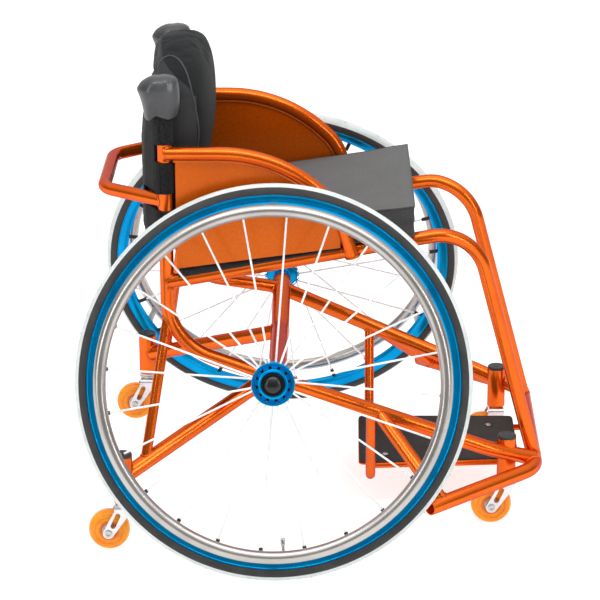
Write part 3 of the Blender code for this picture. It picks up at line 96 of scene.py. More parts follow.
class Board:
    """A tree of nodes that is written as expressions."""

    def __init__(self, tree):
        self.tree = tree

    def node(self, kind, settings=None, links=None):
        """Adds a node, sets it, feeds its sockets, and gives its first live output."""
        made = self.tree.nodes.new(kind)
        for label, value in (settings or {}).items():
            if label == "stops":
                ramp = made.color_ramp.elements
                for place, _ in value[1:-1]:
                    ramp.new(place)
                for element, (_, grey) in zip(ramp, value):
                    element.color = (grey, grey, grey, 1)
            else:
                setattr(made, label, value)
        for label, value in (links or {}).items():
            if isinstance(value, Wire):
                self.tree.links.new(value.socket, made.inputs[label])
            else:
                made.inputs[label].default_value = value
        return Wire(self, next(out for out in made.outputs if out.enabled))

    def math(self, operation, *values):
        return self.node("ShaderNodeMath", {"operation": operation}, dict(enumerate(values)))

    def mix(self, share, first, second):
        """A colour between two, by a share from 0 to 1."""
        first, second = ((*value, 1) if isinstance(value, tuple) else value
                         for value in (first, second))
        made = self.node("ShaderNodeMix", {"data_type": "RGBA"}, {0: share, 6: first, 7: second})
        return Wire(self, made.socket.node.outputs[2])


def stand_up(name, data):
    """Puts an object with this data in the scene."""
    thing = bpy.data.objects.new(name, data)
    bpy.context.scene.collection.objects.link(thing)
    return thing


HALF_FLOOR = 30.0
floor_mesh = bpy.data.meshes.new("studio_floor")
floor_mesh.from_pydata([(x * HALF_FLOOR, y * HALF_FLOOR, 0)
                        for x, y in ((-1, -1), (1, -1), (1, 1), (-1, 1))], [], [(0, 1, 2, 3)])
stand_up("studio_floor", floor_mesh)
floor_paper = bpy.data.materials.new("studio_floor_paper")
floor_paper.use_nodes = True
paper = floor_paper.node_tree.nodes["Principled BSDF"].inputs
paper["Base Color"].default_value = (0.50, 0.50, 0.50, 1)
paper["Roughness"].default_value = 0.95
paper["Emission Color"].default_value = (1, 1, 1, 1)
paper["Emission Strength"].default_value = 0.74
floor_mesh.materials.append(floor_paper)

# The room's greys go from straight down to straight up. The wall behind the chair is white, so
# edges seen at a low angle shine.
ROOM_GREYS = ((0.0, 0.06), (0.15, 0.16), (0.40, 0.30), (0.62, 0.85), (1.0, 1.10))
room = bpy.data.worlds.new("grey_room")
bpy.context.scene.world = room
room.use_nodes = True
sight = Board(room.node_tree)
split = sight.node("ShaderNodeSeparateXYZ", None,
                   {"Vector": sight.node("ShaderNodeTexCoord").out("Generated")})
dome = sight.node("ShaderNodeValToRGB", {"stops": ROOM_GREYS}, {"Fac": split.out("Z")})
backdrop = sight.node("ShaderNodeMapRange", None, {"Value": split.out("Y"), "From Min": 0.25,
                                                   "From Max": 0.85, "To Max": 0.9})
background = room.node_tree.nodes["Background"].inputs
room.node_tree.links.new(sight.mix(backdrop, dome, (1, 1, 1)).socket, background["Color"])
background["Strength"].default_value = 0.95


def lamp(name, place, aim, size, power):
    """A soft box that points at a spot on the chair."""
    light = bpy.data.lights.new(name, "AREA")
    light.shape = "RECTANGLE"
    light.size, light.size_y = size
    light.energy = power
    stand = stand_up(name, light)
    stand.location = place
    stand.rotation_euler = (Vector(aim) - Vector(place)).to_track_quat("-Z", "Y").to_euler()


lamp("overhead_strip", (0.0, -1.1, 2.6), (0, 0, 0.3), (2.6, 0.30), 18)
lamp("front_strip", (2.2, -2.2, 1.5), (0.1, 0, 0.4), (0.30, 1.9), 18)
lamp("rear_strip", (-2.2, -2.2, 1.5), (-0.1, 0, 0.4), (0.30, 1.9), 18)
sky = bpy.data.lights.new("wide_sky", "SUN")
sky.energy = 0.8
sky.angle = radians(70)
stand_up("wide_sky", sky).rotation_euler = (radians(12), 0, 0)
bpy.context.scene.view_settings.view_transform = "Standard"

VIEW_AZIMUTH = radians(1.045)
VIEW_ELEVATION = radians(19.36)
VIEW_ROLL = radians(-0.232)
VIEW_TARGET = Vector((-0.0262, 0, 0.3387))
VIEW_DISTANCE = 4.558
IMAGE_PIXELS = 600
FOCAL_PIXELS = 2660
view_back = Vector((sin(VIEW_AZIMUTH) * cos(VIEW_ELEVATION),
                    -cos(VIEW_AZIMUTH) * cos(VIEW_ELEVATION), sin(VIEW_ELEVATION)))
view_level = (-view_back).cross(Vector((0, 0, 1))).normalized()
view_upright = view_level.cross(-view_back)
view_right = view_level * cos(VIEW_ROLL) + view_upright * sin(VIEW_ROLL)
view_up = view_upright * cos(VIEW_ROLL) - view_level * sin(VIEW_ROLL)
camera = bpy.data.cameras.new("side_view")
camera.sensor_width = 36.0
camera.lens = FOCAL_PIXELS / IMAGE_PIXELS * camera.sensor_width
tripod = stand_up("side_view", camera)
tripod.matrix_world = (Matrix.Translation(VIEW_TARGET + view_back * VIEW_DISTANCE)
                       @ Matrix((view_right, view_up, view_back)).transposed().to_4x4())
bpy.context.scene.camera = tripod


# The welded frame: drawn aluminium tubes, bent cold, mitred, and laid out from the main axle line.
# Each one is a round bar that follows its own bent path. The orange is a clear candy coat over a
# metallic base, so it is bright where the light falls and goes deep red where it turns away.
AXLE_X = (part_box("right_tyre")[0].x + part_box("right_tyre")[1].x) / 2
SIDES = {"right": -1, "left": 1}
CAMBER = radians(16.82)
WHEEL_Y = 0.3097
WHEEL_RADIUS = 0.320
TYRE_SECTION = 0.0125
AXLE_Z = (WHEEL_RADIUS - TYRE_SECTION) * cos(CAMBER) + TYRE_SECTION


class Finish(Board):
    """A surface finish: a Principled shader, and the nodes that vary it over object space."""

    def __init__(self, name, **constants):
        self.material = bpy.data.materials.new(name)
        self.material.use_nodes = True
        super().__init__(self.material.node_tree)
        self.shader = self.tree.nodes["Principled BSDF"]
        for label, value in constants.items():
            self.socket(label).default_value = value
        self.spot = self.place()

    def socket(self, label):
        return self.shader.inputs[label.replace("_", " ").title().replace("Ior", "IOR")]

    def feed(self, **wires):
        for label, wire in wires.items():
            self.tree.links.new(wire.socket, self.socket(label))
        return self.material

    def place(self, turn=(0, 0, 0), stretch=(1, 1, 1)):
        """Object coordinates, in metres, turned or stretched where the pattern needs it."""
        return self.node("ShaderNodeMapping", None,
                         {"Vector": self.node("ShaderNodeTexCoord").out("Object"),
                          "Rotation": turn, "Scale": stretch})

    def unwrapped(self, scale=(1.0, 1.0, 1.0)):
        """Once round a turned piece, and metres along its outline."""
        return self.node("ShaderNodeMapping", None,
                         {"Vector": self.node("ShaderNodeUVMap", {"uv_map": "around_across"}),
                          "Scale": scale})

    def noise(self, scale, detail=2.0, roughness=0.5, spot=None):
        return self.node("ShaderNodeTexNoise", {"noise_dimensions": "3D"},
                         {"Vector": spot or self.spot, "Scale": scale, "Detail": detail,
                          "Roughness": roughness})

    def cells(self, scale, feature="F1", **more):
        return self.node("ShaderNodeTexVoronoi", {"feature": feature},
                         {"Vector": self.spot, "Scale": scale, **more})

    def each_cell(self, scale):
        """A number of its own for each cell."""
        return self.node("ShaderNodeSeparateColor", None,
                         {"Color": self.cells(scale).out("Color")})

    def axes(self, spot=None):
        split = self.node("ShaderNodeSeparateXYZ", None, {"Vector": spot or self.spot})
        return [split.out(axis) for axis in ("X", "Y", "Z")]

    def bump(self, height, distance):
        return self.node("ShaderNodeBump", None, {"Height": height, "Distance": distance})


def candy_orange(name, base, deep, roughness, metal=0.78):
    """Metallic candy paint: tiny flakes under the clear coat, and a slow drift in depth."""
    paint = Finish(name, metallic=metal, coat_roughness=0.04, coat_ior=1.5,
                   coat_tint=(1.0, 0.72, 0.50, 1), specular_tint=(0.42, 0.11, 0.03, 1))
    sparkle = paint.each_cell(2400.0)
    share = paint.noise(9.0, 3.0).smooth(0.3, 0.75) * 0.45 + sparkle * 0.06
    dust = paint.noise(140.0)
    return paint.feed(base_color=paint.mix(share, base, deep),
                      roughness=roughness + sparkle * 0.03 + dust * 0.03,
                      coat_weight=0.30 - dust * 0.10,
                      normal=paint.bump(paint.noise(420.0, 1.0), 0.000004))


FRAME_PAINT = candy_orange("frame_candy_orange", (0.82, 0.150, 0.008), (0.64, 0.085, 0.004), 0.19)


def at(x, y, z):
    """A place given from the axle line: forward, to the left, and up from the floor."""
    return Vector((x + AXLE_X, y, z))


def beside(side, x, y, z):
    return at(x, SIDES[side] * y, z)


def both_ways(corners):
    """Corners on the right, and then their mirror images on the left, as one line across."""
    return ([beside("right", *corner) for corner in corners]
            + [beside("left", *corner) for corner in reversed(corners)])


def straight(x, start, end):
    """The value at x on a straight line through two (x, value) points."""
    return start[1] + (end[1] - start[1]) * (x - start[0]) / (end[0] - start[0])


def on_line(start, end, share):
    return start + (end - start) * share


def axle_height(y):
    """Height of the cambered axle line at a distance from the chair's middle."""
    return AXLE_Z - (WHEEL_Y - y) * tan(CAMBER)


def bent_path(corners, bends, step=4):
    """A tube's centre line: straight runs, and an arc at each inner corner."""
    path = [corners[0].copy()]
    for before, corner, after, radius in zip(corners, corners[1:], corners[2:], bends):
        back = (before - corner).normalized()
        ahead = (after - corner).normalized()
        turn = pi - back.angle(ahead)
        centre = corner + (back + ahead).normalized() * radius / cos(turn / 2)
        start = corner + back * radius * tan(turn / 2) - centre
        rings = max(3, ceil(turn / radians(step)))
        for ring in range(rings + 1):
            swing = turn * ring / rings
            path.append(centre + start * cos(swing) - back * radius * sin(swing))
    path.append(corners[-1].copy())
    return path


def wire_mesh(name, paths, closed):
    """Loose edges along each path, for a Geometry Nodes tree to work from."""
    points = []
    edges = []
    for path in paths:
        first = len(points)
        points += [tuple(place) for place in path]
        edges += [(index, index + 1) for index in range(first, len(points) - 1)]
        if closed:
            edges.append((len(points) - 1, first))
    mesh = bpy.data.meshes.new(name)
    mesh.from_pydata(points, edges, [])
    return mesh


def plain_mesh(name, holder):
    """The shape of a curve or of a piece with modifiers, as a mesh of its own."""
    if holder.name not in bpy.context.scene.collection.objects:
        bpy.context.scene.collection.objects.link(holder)
    graph = bpy.context.evaluated_depsgraph_get()
    mesh = bpy.data.meshes.new_from_object(holder.evaluated_get(graph))
    mesh.name = name
    bpy.data.objects.remove(holder, do_unlink=True)
    return mesh


class Maker(Board):
    """A Geometry Nodes tree with named inputs; grow() runs it and keeps a plain mesh."""

    def __init__(self, name, **inputs):
        self.group = bpy.data.node_groups.new(name, "GeometryNodeTree")
        super().__init__(self.group)
        self.add_socket("Geometry", "Geometry")
        self.add_socket("Geometry", "Geometry", "OUTPUT")
        self.keys = {"Material": self.add_socket("Material", "Material").identifier}
        for label, value in inputs.items():
            kind = {bool: "Bool", int: "Int", float: "Float"}[type(value)]
            socket = self.add_socket(label, kind)
            socket.default_value = value
            self.keys[label] = socket.identifier
        self.start = self.tree.nodes.new("NodeGroupInput")

    def add_socket(self, label, kind, way="INPUT"):
        return self.group.interface.new_socket(label, in_out=way,
                                               socket_type=f"NodeSocket{kind}")

    def __getitem__(self, label):
        return Wire(self, self.start.outputs[label])

    def line(self):
        return self.node("GeometryNodeMeshToCurve", None, {"Mesh": self["Geometry"]})

    def sweep(self, line, sides, ends):
        """A round bar along each line, with or without flat ends."""
        ring = self.node("GeometryNodeCurvePrimitiveCircle", None,
                         {"Resolution": sides, "Radius": self["Radius"]})
        return self.node("GeometryNodeCurveToMesh", None,
                         {"Curve": line, "Profile Curve": ring, "Fill Caps": ends})

    def deliver(self, geometry):
        """Ends the tree: plain geometry, smooth, in one material."""
        smooth = self.node("GeometryNodeSetShadeSmooth", None, {"Geometry": geometry})
        real = self.node("GeometryNodeRealizeInstances", None, {"Geometry": smooth})
        done = self.node("GeometryNodeSetMaterial", None,
                         {"Geometry": real, "Material": self["Material"]})
        end = self.tree.nodes.new("NodeGroupOutput")
        self.tree.links.new(done.socket, end.inputs[0])

    def grow(self, name, source, material, place=Matrix(), closed=False, **values):
        """Makes a piece from a mesh or from paths, and sets it in place."""
        if isinstance(source, list):
            source = wire_mesh(name + "_lines", source, closed)
        holder = stand_up(name + "_lines", source)
        step = holder.modifiers.new("maker", "NODES")
        step.node_group = self.group
        for label, value in {"Material": material, **values}.items():
            step[self.keys[label]] = value
        made = plain_mesh(name, holder)
        made.set_sharp_from_angle(angle=radians(35))
        made.transform(place)
        return stand_up(name, made)


def fit(piece, body, slot, *nodes):
    """Hands a finished piece to its body and hides the solids it stands for; slot is not used."""
    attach(piece, body)
    if nodes:
        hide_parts(*nodes)


tube_maker = Maker("bent_tube", Radius=0.011, Sides=40, Ends=True)
tube_maker.deliver(tube_maker.sweep(tube_maker.line(), tube_maker["Sides"], tube_maker["Ends"]))

# Places are (forward, aside, up) from the axle line; a head's foot and length follow its place.
POST_X = -0.1775
POST_TOP, POST_FOOT = (POST_X, 0.180, 0.775), (POST_X, 0.178, 0.327)
RAIL_REAR, RAIL_FRONT = (POST_X, 0.183, 0.4335), (0.270, 0.155, 0.507)
RAIL_TUBE = 0.023
LEG_Y = 0.139
BAR_BEND_Y = 0.110
BAR_MID_Z = axle_height(BAR_BEND_Y)
LOWER_RAIL_Y = 0.2275
LOWER_RAIL_BEND = (0.354, 0.183, 0.141)
BUMPER_X, BUMPER_Z = 0.434, 0.1075
WING_TIP, BUMPER_CORNER = (0.252, 0.345, 0.1035), (BUMPER_X, 0.185, BUMPER_Z)
HANGER_X, HANGER_UP, HANGER_TUBE = 0.158, 0.0693, 0.0165
GUARD_Y, GUARD_TOP = 0.187, 0.6535
HEADS = {"rear": (-0.249, 0.288, 0.0975, 0.0716), "front": (0.386, 0.163, 0.0823, 0.0708)}
HEAD_RADIUS = 0.01575
tubes = {}


def lay_tube(node, corners, bends, diameter, step=4):
    """Bends one tube and puts it in the place of its plain solid."""
    path = bent_path(corners, bends, step)
    tubes[node] = (path, diameter / 2)
    fit(tube_maker.grow(node + "_tube", [path], FRAME_PAINT, Radius=diameter / 2),
        "frame", "frame_paint", node)


def on_post(side, z):
    """The back post's centre line at a height on its straight run."""
    return on_line(beside(side, *POST_TOP), beside(side, *POST_FOOT),
                   (POST_TOP[2] - z) / (POST_TOP[2] - POST_FOOT[2]))


bar_reach = 0.0608
bar_end = (0, WHEEL_Y - bar_reach * cos(CAMBER), AXLE_Z - bar_reach * sin(CAMBER))
lay_tube("camber_bar", both_ways([bar_end, (0, BAR_BEND_Y, BAR_MID_Z)]), [0.120, 0.120], 0.0318)
lay_tube("push_bar", both_ways([(POST_X, 0.179, 0.5715), (-0.2845, 0.098, 0.5695)]),
         [0.045, 0.045], 0.022)
hanger_end = (HANGER_X, straight(HANGER_X, (0, LOWER_RAIL_Y), LOWER_RAIL_BEND[:2]),
              straight(HANGER_X, (0, axle_height(LOWER_RAIL_Y)), LOWER_RAIL_BEND[::2]))
lay_tube("footrest_hanger", both_ways([hanger_end, (HANGER_X, 0.138, HANGER_UP)]),
         [0.026, 0.026], HANGER_TUBE, step=8)
for side in SIDES:
    lay_tube(f"{side}_back_post", [beside(side, *POST_TOP), beside(side, *POST_FOOT),
                                   beside(side, 0, 0.229, axle_height(0.229))], [0.096],
             RAIL_TUBE)
    lay_tube(f"{side}_seat_rail",
             [beside(side, *RAIL_REAR), beside(side, *RAIL_FRONT),
              beside(side, 0.332, LEG_Y, 0.490), beside(side, BUMPER_X, LEG_Y, BUMPER_Z)],
             [0.0635, 0.0855], RAIL_TUBE)
    lower = [beside(side, 0, LOWER_RAIL_Y, axle_height(LOWER_RAIL_Y)),
             beside(side, *LOWER_RAIL_BEND), beside(side, BUMPER_X, 0.157, 0.1125)]
    lay_tube(f"{side}_lower_rail", lower, [0.210], 0.0254)
    stay = [beside(side, 0, 0.098, BAR_MID_Z), beside(side, *HEADS["rear"][:2], 0.1313)]
    lay_tube(f"{side}_rear_stay", stay, [], 0.0260)
    lay_tube(f"{side}_rear_strut", [on_post(side, 0.372), on_line(*stay, 0.86)], [], 0.017)
    wing = [beside(side, *BUMPER_CORNER), beside(side, *WING_TIP)]
    lay_tube(f"{side}_wing_brace", [on_line(*lower[:2], 0.48), on_line(*wing, 0.874)], [], 0.0235)
    lay_tube(f"{side}_guard_tube",
             [beside(side, POST_X, GUARD_Y, GUARD_TOP), beside(side, 0.0064, GUARD_Y, GUARD_TOP),
              beside(side, 0.1002, GUARD_Y, 0.5651), beside(side, 0.1270, GUARD_Y, 0.4800)],
             [0.236, 0.082], 0.022)


# The bumper: one long tube bent round the chair's front, its swept wings left open at the ends.
# The ends are deburred, so the wall shows as a bright ring with a dark bore.
BUMPER_RADIUS = 0.0127


def thicken(piece, thickness, offset=0.0, even=True):
    """Gives a sheet or a tube's skin its real wall."""
    wall = piece.modifiers.new("wall", "SOLIDIFY")
    wall.thickness = thickness
    wall.offset = offset
    wall.use_even_offset = even


def soften(piece, width, angle=50):
    """Rounds a piece's sharp edges over."""
    edge = piece.modifiers.new("soft_edge", "BEVEL")
    edge.width = width
    edge.segments = 2
    edge.limit_method = "ANGLE"
    edge.angle_limit = radians(angle)


bumper_path = bent_path(both_ways([WING_TIP, BUMPER_CORNER]), [0.066, 0.066])
tubes["front_bumper"] = (bumper_path, BUMPER_RADIUS)
bumper = tube_maker.grow("front_bumper_tube", [bumper_path], FRAME_PAINT, Radius=BUMPER_RADIUS,
                         Ends=False)
thicken(bumper, 0.0021, -1, even=False)
soften(bumper, 0.0004)
fit(bumper, "frame", "frame_paint", "front_bumper")


# Welds: each mitred tube end is run round with filler rod in a row of small overlapping ripples,
# and painted over with the frame.
def rippled(name, radius, pitch, swell, cuts, sides, ends):
    """A maker of round cords whose thickness swells or shrinks once in each pitch."""
    maker = Maker(name, Radius=radius, Pitch=pitch)
    line = maker.node("GeometryNodeResampleCurve", {"mode": "LENGTH"},
                      {"Curve": maker.line(), "Length": maker["Pitch"] / cuts})
    along = maker.node("GeometryNodeSplineParameter").out("Length")
    wave = abs((along * pi / maker["Pitch"]).sine())
    line = maker.node("GeometryNodeSetCurveRadius", None,
                      {"Curve": line, "Radius": 1.0 + wave * swell})
    maker.deliver(maker.sweep(line, sides, ends))
    return maker


bead_maker = rippled("weld_bead", 0.0021, 0.0024, 0.16, 5, 10, False)
BEAD_PAINT = candy_orange("bead_candy_orange", (1.0, 0.34, 0.07), (0.62, 0.12, 0.01), 0.30)
WELD_PAINT = candy_orange("weld_candy_orange", (0.80, 0.17, 0.018), (0.55, 0.09, 0.006), 0.28)


def clearance(points, path):
    """How far each point lies from a centre line."""
    path = np.array([tuple(place) for place in path])
    start, run = path[:-1], path[1:] - path[:-1]
    share = ((points[:, None, :] - start) * run).sum(2) / (run * run).sum(1)
    nearest = start + run * np.clip(share, 0, 1)[..., None]
    return np.linalg.norm(points[:, None, :] - nearest, axis=2).min(1)


def weld_line(name, end, carrier):
    """The closed line where a tube's end meets the tube or head that carries it."""
    path, radius = tubes[name]
    if end:
        path = path[::-1]
    carrier_path, carrier_radius = tubes[carrier]
    run = (path[1] - path[0]).normalized()
    across = run.orthogonal().normalized()
    beyond = run.cross(across)
    steps = np.arange(0, 0.075, 0.0004)
    line = []
    for index in range(48):
        angle = 2 * pi * index / 48
        edge = path[0] + (across * cos(angle) + beyond * sin(angle)) * radius
        ray = np.array(edge) + steps[:, None] * np.array(run)
        inside = np.nonzero(clearance(ray, carrier_path) < carrier_radius)[0]
        line.append(edge + run * (steps[inside[-1]] if len(inside) else 0.0))
    return line


WELDED = (("back_post", 1, "camber_bar"), ("seat_rail", 0, "back_post"),
          ("seat_rail", 1, "front_bumper"), ("lower_rail", 0, "camber_bar"),
          ("lower_rail", 1, "front_bumper"), ("rear_stay", 0, "camber_bar"),
          ("rear_stay", 1, "rear_caster_head"), ("rear_strut", 0, "back_post"),
          ("rear_strut", 1, "rear_stay"), ("wing_brace", 0, "lower_rail"),
          ("wing_brace", 1, "front_bumper"), ("guard_tube", 0, "back_post"),
          ("guard_tube", 1, "seat_rail"))
for side in SIDES:
    for row, (x, y, foot, length) in HEADS.items():
        tubes[f"{side}_{row}_caster_head"] = ([beside(side, x, y, foot),
                                               beside(side, x, y, foot + length)], HEAD_RADIUS)
weld_lines = [weld_line(tube, end, f"{side}_{carrier}")
              for tube, carrier in (("push_bar", "back_post"), ("footrest_hanger", "lower_rail"))
              for end, side in enumerate(SIDES)]
for side in SIDES:
    for tube, end, carrier in WELDED:
        if carrier not in tubes:
            carrier = f"{side}_{carrier}"
        weld_lines.append(weld_line(f"{side}_{tube}", end, carrier))
fit(bead_maker.grow("frame_welds", weld_lines, WELD_PAINT, closed=True), "frame", "frame_paint")

# The guard sheets are tacked under their tubes with one long fine bead, seen on the outer side.
SHEET_REAR, SHEET_FRONT = -0.163, 0.122


def under_guard(side, drop, wanted):
    """A line under the bent guard tube, at the places that are wanted."""
    path = tubes[f"{side}_guard_tube"][0]
    line = []
    for before, place, after in zip(path, path[1:], path[2:]):
        if wanted(place.x - AXLE_X, place.z):
            down = (after - before).normalized().cross(Vector((0, 1, 0)))
            line.append(place + down * (drop if down.z < 0 else -drop))
    return line


bead_lines = []
for side in SIDES:
    line = under_guard(side, 0.0122, lambda x, z: -0.165 < x < SHEET_FRONT)
    line.insert(0, Vector((AXLE_X + SHEET_REAR, line[0].y, line[0].z)))
    bead_lines += [[place + Vector((0, offset, 0)) for place in line]
                   for offset in (-0.0018, 0.0018)]
fit(bead_maker.grow("guard_sheet_beads", bead_lines, BEAD_PAINT, Radius=0.0019),
    "frame", "frame_paint")


# Caster heads: turned sleeves welded to the stays and to the bumper, each closed by a flat
# moulded cap pressed in at its top.
def fillet(outline, radius, steps=3):
    """An outline of (radius, height) points with its inner corners rounded."""
    made = [outline[0]]
    for before, here, after in zip(outline, outline[1:], outline[2:]):
        here = Vector(here)
        back, ahead = Vector(before) - here, Vector(after) - here
        trim = min(radius, back.length * 0.45, ahead.length * 0.45)
        start = here + back.normalized() * trim
        end = here + ahead.normalized() * trim
        for step in range(steps + 1):
            share = step / steps
            made.append(tuple(start.lerp(here, share).lerp(here.lerp(end, share), share)))
    return made + [outline[-1]]


def as_mesh(name, body, outward=True):
    """Ends a bmesh and gives its faces as a mesh."""
    if outward:
        bmesh.ops.recalc_face_normals(body, faces=body.faces)
    mesh = bpy.data.meshes.new(name)
    body.to_mesh(mesh)
    body.free()
    return mesh


def show(name, mesh, material, place=Matrix(), crease=30):
    """A finished piece from a mesh, set in place."""
    mesh.transform(place)
    mesh.materials.clear()
    mesh.materials.append(material)
    mesh.shade_smooth()
    mesh.set_sharp_from_angle(angle=radians(crease))
    return stand_up(name, mesh)


def turned(name, outline, material, turns=64, place=Matrix(), closed=False):
    """A piece turned on its own Z axis from (radius, height) points, then set in place."""
    body = bmesh.new()
    unwrap = body.loops.layers.uv.new("around_across")
    rings = []
    for radius, height in outline:
        spokes = range(turns if radius > 1e-7 else 1)
        ring = [body.verts.new((radius * cos(2 * pi * turn / turns),
                                radius * sin(2 * pi * turn / turns), height)) for turn in spokes]
        rings.append(ring * (turns // len(ring)))
    if closed:
        rings, outline = rings + rings[:1], outline + outline[:1]
    length = 0.0
    for low, high, first, second in zip(rings, rings[1:], outline, outline[1:]):
        before, length = length, length + (Vector(first) - Vector(second)).length
        for turn in range(turns):
            after = (turn + 1) % turns
            corners = [low[turn], low[after], high[after], high[turn]]
            spots = [(turn, before), (turn + 1, before), (turn + 1, length), (turn, length)]
            kept = [index for index in range(4) if corners[index] not in corners[:index]]
            if len(kept) < 3:
                continue
            face = body.faces.new([corners[index] for index in kept])
            for loop, index in zip(face.loops, kept):
                loop[unwrap].uv = (spots[index][0] / turns, spots[index][1])
    return show(name, as_mesh(name, body), material, place)


def moulded_grey(name, colour, roughness):
    """Moulded plastic with a faint spark-eroded grain."""
    plastic = Finish(name, ior=1.48)
    grain = plastic.noise(1400.0, 3.0)
    lighter = tuple(value * 1.35 for value in colour)
    return plastic.feed(base_color=plastic.mix(plastic.noise(60.0).smooth(0.3, 0.7),
                                               colour, lighter),
                        roughness=roughness + grain * 0.12, normal=plastic.bump(grain, 0.00006))


HEAD_CAP_PLASTIC = moulded_grey("head_cap_plastic", (0.022, 0.023, 0.025), 0.42)
HEAD_BORE = 0.0064
cap_line = fillet([(0, 0.0050), (0.0050, 0.0050), (0.0056, 0.0044), (0.0112, 0.0046),
                   (0.0120, 0.0050), (0.0152, 0.0042), (HEAD_RADIUS, 0.0026), (HEAD_RADIUS, 0),
                   (0, 0)], 0.0006)
for side in SIDES:
    for row, (x, y, foot, length) in HEADS.items():
        label = f"{side}_{row}"
        sleeve_line = fillet([(HEAD_BORE, 0), (HEAD_RADIUS, 0), (HEAD_RADIUS, length),
                              (HEAD_BORE, length)], 0.0008)
        fit(turned(f"{label}_head_sleeve", sleeve_line, FRAME_PAINT, 56,
                   Matrix.Translation(beside(side, x, y, foot)), closed=True),
            "frame", "frame_paint", f"{label}_caster_head")
        fit(turned(f"{label}_head_plug", cap_line, HEAD_CAP_PLASTIC, 56,
                   Matrix.Translation(beside(side, x, y, foot + length + 0.0003))),
            "frame", "cap_plastic", f"{label}_head_cap")


# Caster forks: an aluminium channel folded over the wheel and polished, with a slot through each
# cheek to lighten it, a turned spindle up into the head, and a tall washer under the rear heads.
LIFTS_AND_WASHERS = {"rear": (0.0062, 0.009), "front": (0.0, 0.0)}
CASTER_RADIUS = 0.034
TRAIL = 0.0245
FORK_RISE, FORK_HALF, FORK_SHEET, FORK_FOLD = 0.048, 0.023, 0.0045, 0.0055
CROWN_DEPTH, CROWN_HALF = 0.009, 0.014
EYE_RADIUS = 0.0092
BOLT_HOLE = 0.0037
SLOT_MIDDLE = Vector((-0.0122, 0.0225))
SLOT_LEAN = radians(24)
SLOT_WIDTH, SLOT_LENGTH = 0.0086, 0.029


def arc(centre, radius, start, end, steps):
    """Points on a flat arc, both ends included."""
    return [(centre[0] + radius * cos(start + (end - start) * step / steps),
             centre[1] + radius * sin(start + (end - start) * step / steps))
            for step in range(steps + 1)]


def circle(radius, count, centre=(0, 0), way=1):
    return arc(centre, radius, 0, way * 2 * pi, count)[:-1]


def cut_plate(name, outlines, low, high, edge=0.0):
    """A plate from low to high; the first outline is its rim and the others are holes in it."""
    curve = bpy.data.curves.new(name, "CURVE")
    curve.dimensions = "2D"
    curve.fill_mode = "BOTH"
    curve.extrude = (high - low) / 2 - edge
    curve.bevel_depth = edge
    curve.bevel_resolution = 2
    curve.offset = -edge
    for outline in outlines:
        spline = curve.splines.new("POLY")
        spline.points.add(len(outline) - 1)
        for point, (x, y) in zip(spline.points, outline):
            point.co = (x, y, 0, 1)
        spline.use_cyclic_u = True
    body = bmesh.new()
    body.from_mesh(plain_mesh(name, bpy.data.objects.new(name, curve)))
    bmesh.ops.remove_doubles(body, verts=body.verts, dist=0.000002)
    bmesh.ops.translate(body, verts=body.verts, vec=(0, 0, (low + high) / 2))
    return as_mesh(name, body)


def combined(name, blank, operation, tool, edge=0.0):
    """What is left of one mesh when another cuts it, with its new edges softened."""
    work = bpy.data.objects.new(name, blank)
    cutter = stand_up(name + "_tool", tool)
    trim = work.modifiers.new("trim", "BOOLEAN")
    trim.operation = operation
    trim.solver = "EXACT"
    trim.object = cutter
    if edge:
        soften(work, edge)
    mesh = plain_mesh(name, work)
    bpy.data.objects.remove(cutter, do_unlink=True)
    return mesh


def polished(name, colour, roughness, metallic=1.0):
    """Turned or polished metal: fine scratches every way, a few dull patches."""
    metal = Finish(name, metallic=metallic)
    cloud = metal.noise(45.0, 3.0)
    scratches = metal.noise(900.0, spot=metal.place((0.3, 0.5, 0.7), (1, 12, 1)))
    darker = tuple(value * 0.82 for value in colour)
    return metal.feed(base_color=metal.mix(cloud.smooth(0.35, 0.75), colour, darker),
                      roughness=roughness + cloud * 0.10 + scratches * 0.08,
                      normal=metal.bump(scratches, 0.00001))


FORK_METAL = polished("fork_polished_aluminium", (0.74, 0.74, 0.75), 0.22, 0.92)
WASHER_STEEL = polished("washer_steel", (0.62, 0.61, 0.60), 0.30)


def rounded_top(half, top, radius, steps):
    """The two upper corners of an outline, from right to left."""
    return (arc((half - radius, top - radius), radius, 0, pi / 2, steps)
            + arc((radius - half, top - radius), radius, pi / 2, pi, steps))


def cheek_outline():
    """The fork from the side, in (forward, up) from the swivel line and the wheel's middle."""
    shoulder = FORK_RISE - CROWN_DEPTH
    ends = []
    for corner, sign in (((-CROWN_HALF, shoulder), 1), ((CROWN_HALF, shoulder), -1)):
        across = Vector((corner[0] + TRAIL, corner[1]))
        ends.append(atan2(across.y, across.x) + sign * acos(EYE_RADIUS / across.length))
    return (rounded_top(CROWN_HALF, FORK_RISE, 0.003, 4) + [(-CROWN_HALF, shoulder)]
            + arc((-TRAIL, 0), EYE_RADIUS, ends[0], ends[1] + 2 * pi, 20)
            + [(CROWN_HALF, shoulder)])


def slot_outline():
    half = SLOT_WIDTH / 2
    lean = Vector((sin(SLOT_LEAN), cos(SLOT_LEAN))) * (SLOT_LENGTH / 2 - half)
    return (arc(SLOT_MIDDLE + lean, half, -SLOT_LEAN, pi - SLOT_LEAN, 10)
            + arc(SLOT_MIDDLE - lean, half, pi - SLOT_LEAN, 2 * pi - SLOT_LEAN, 10))


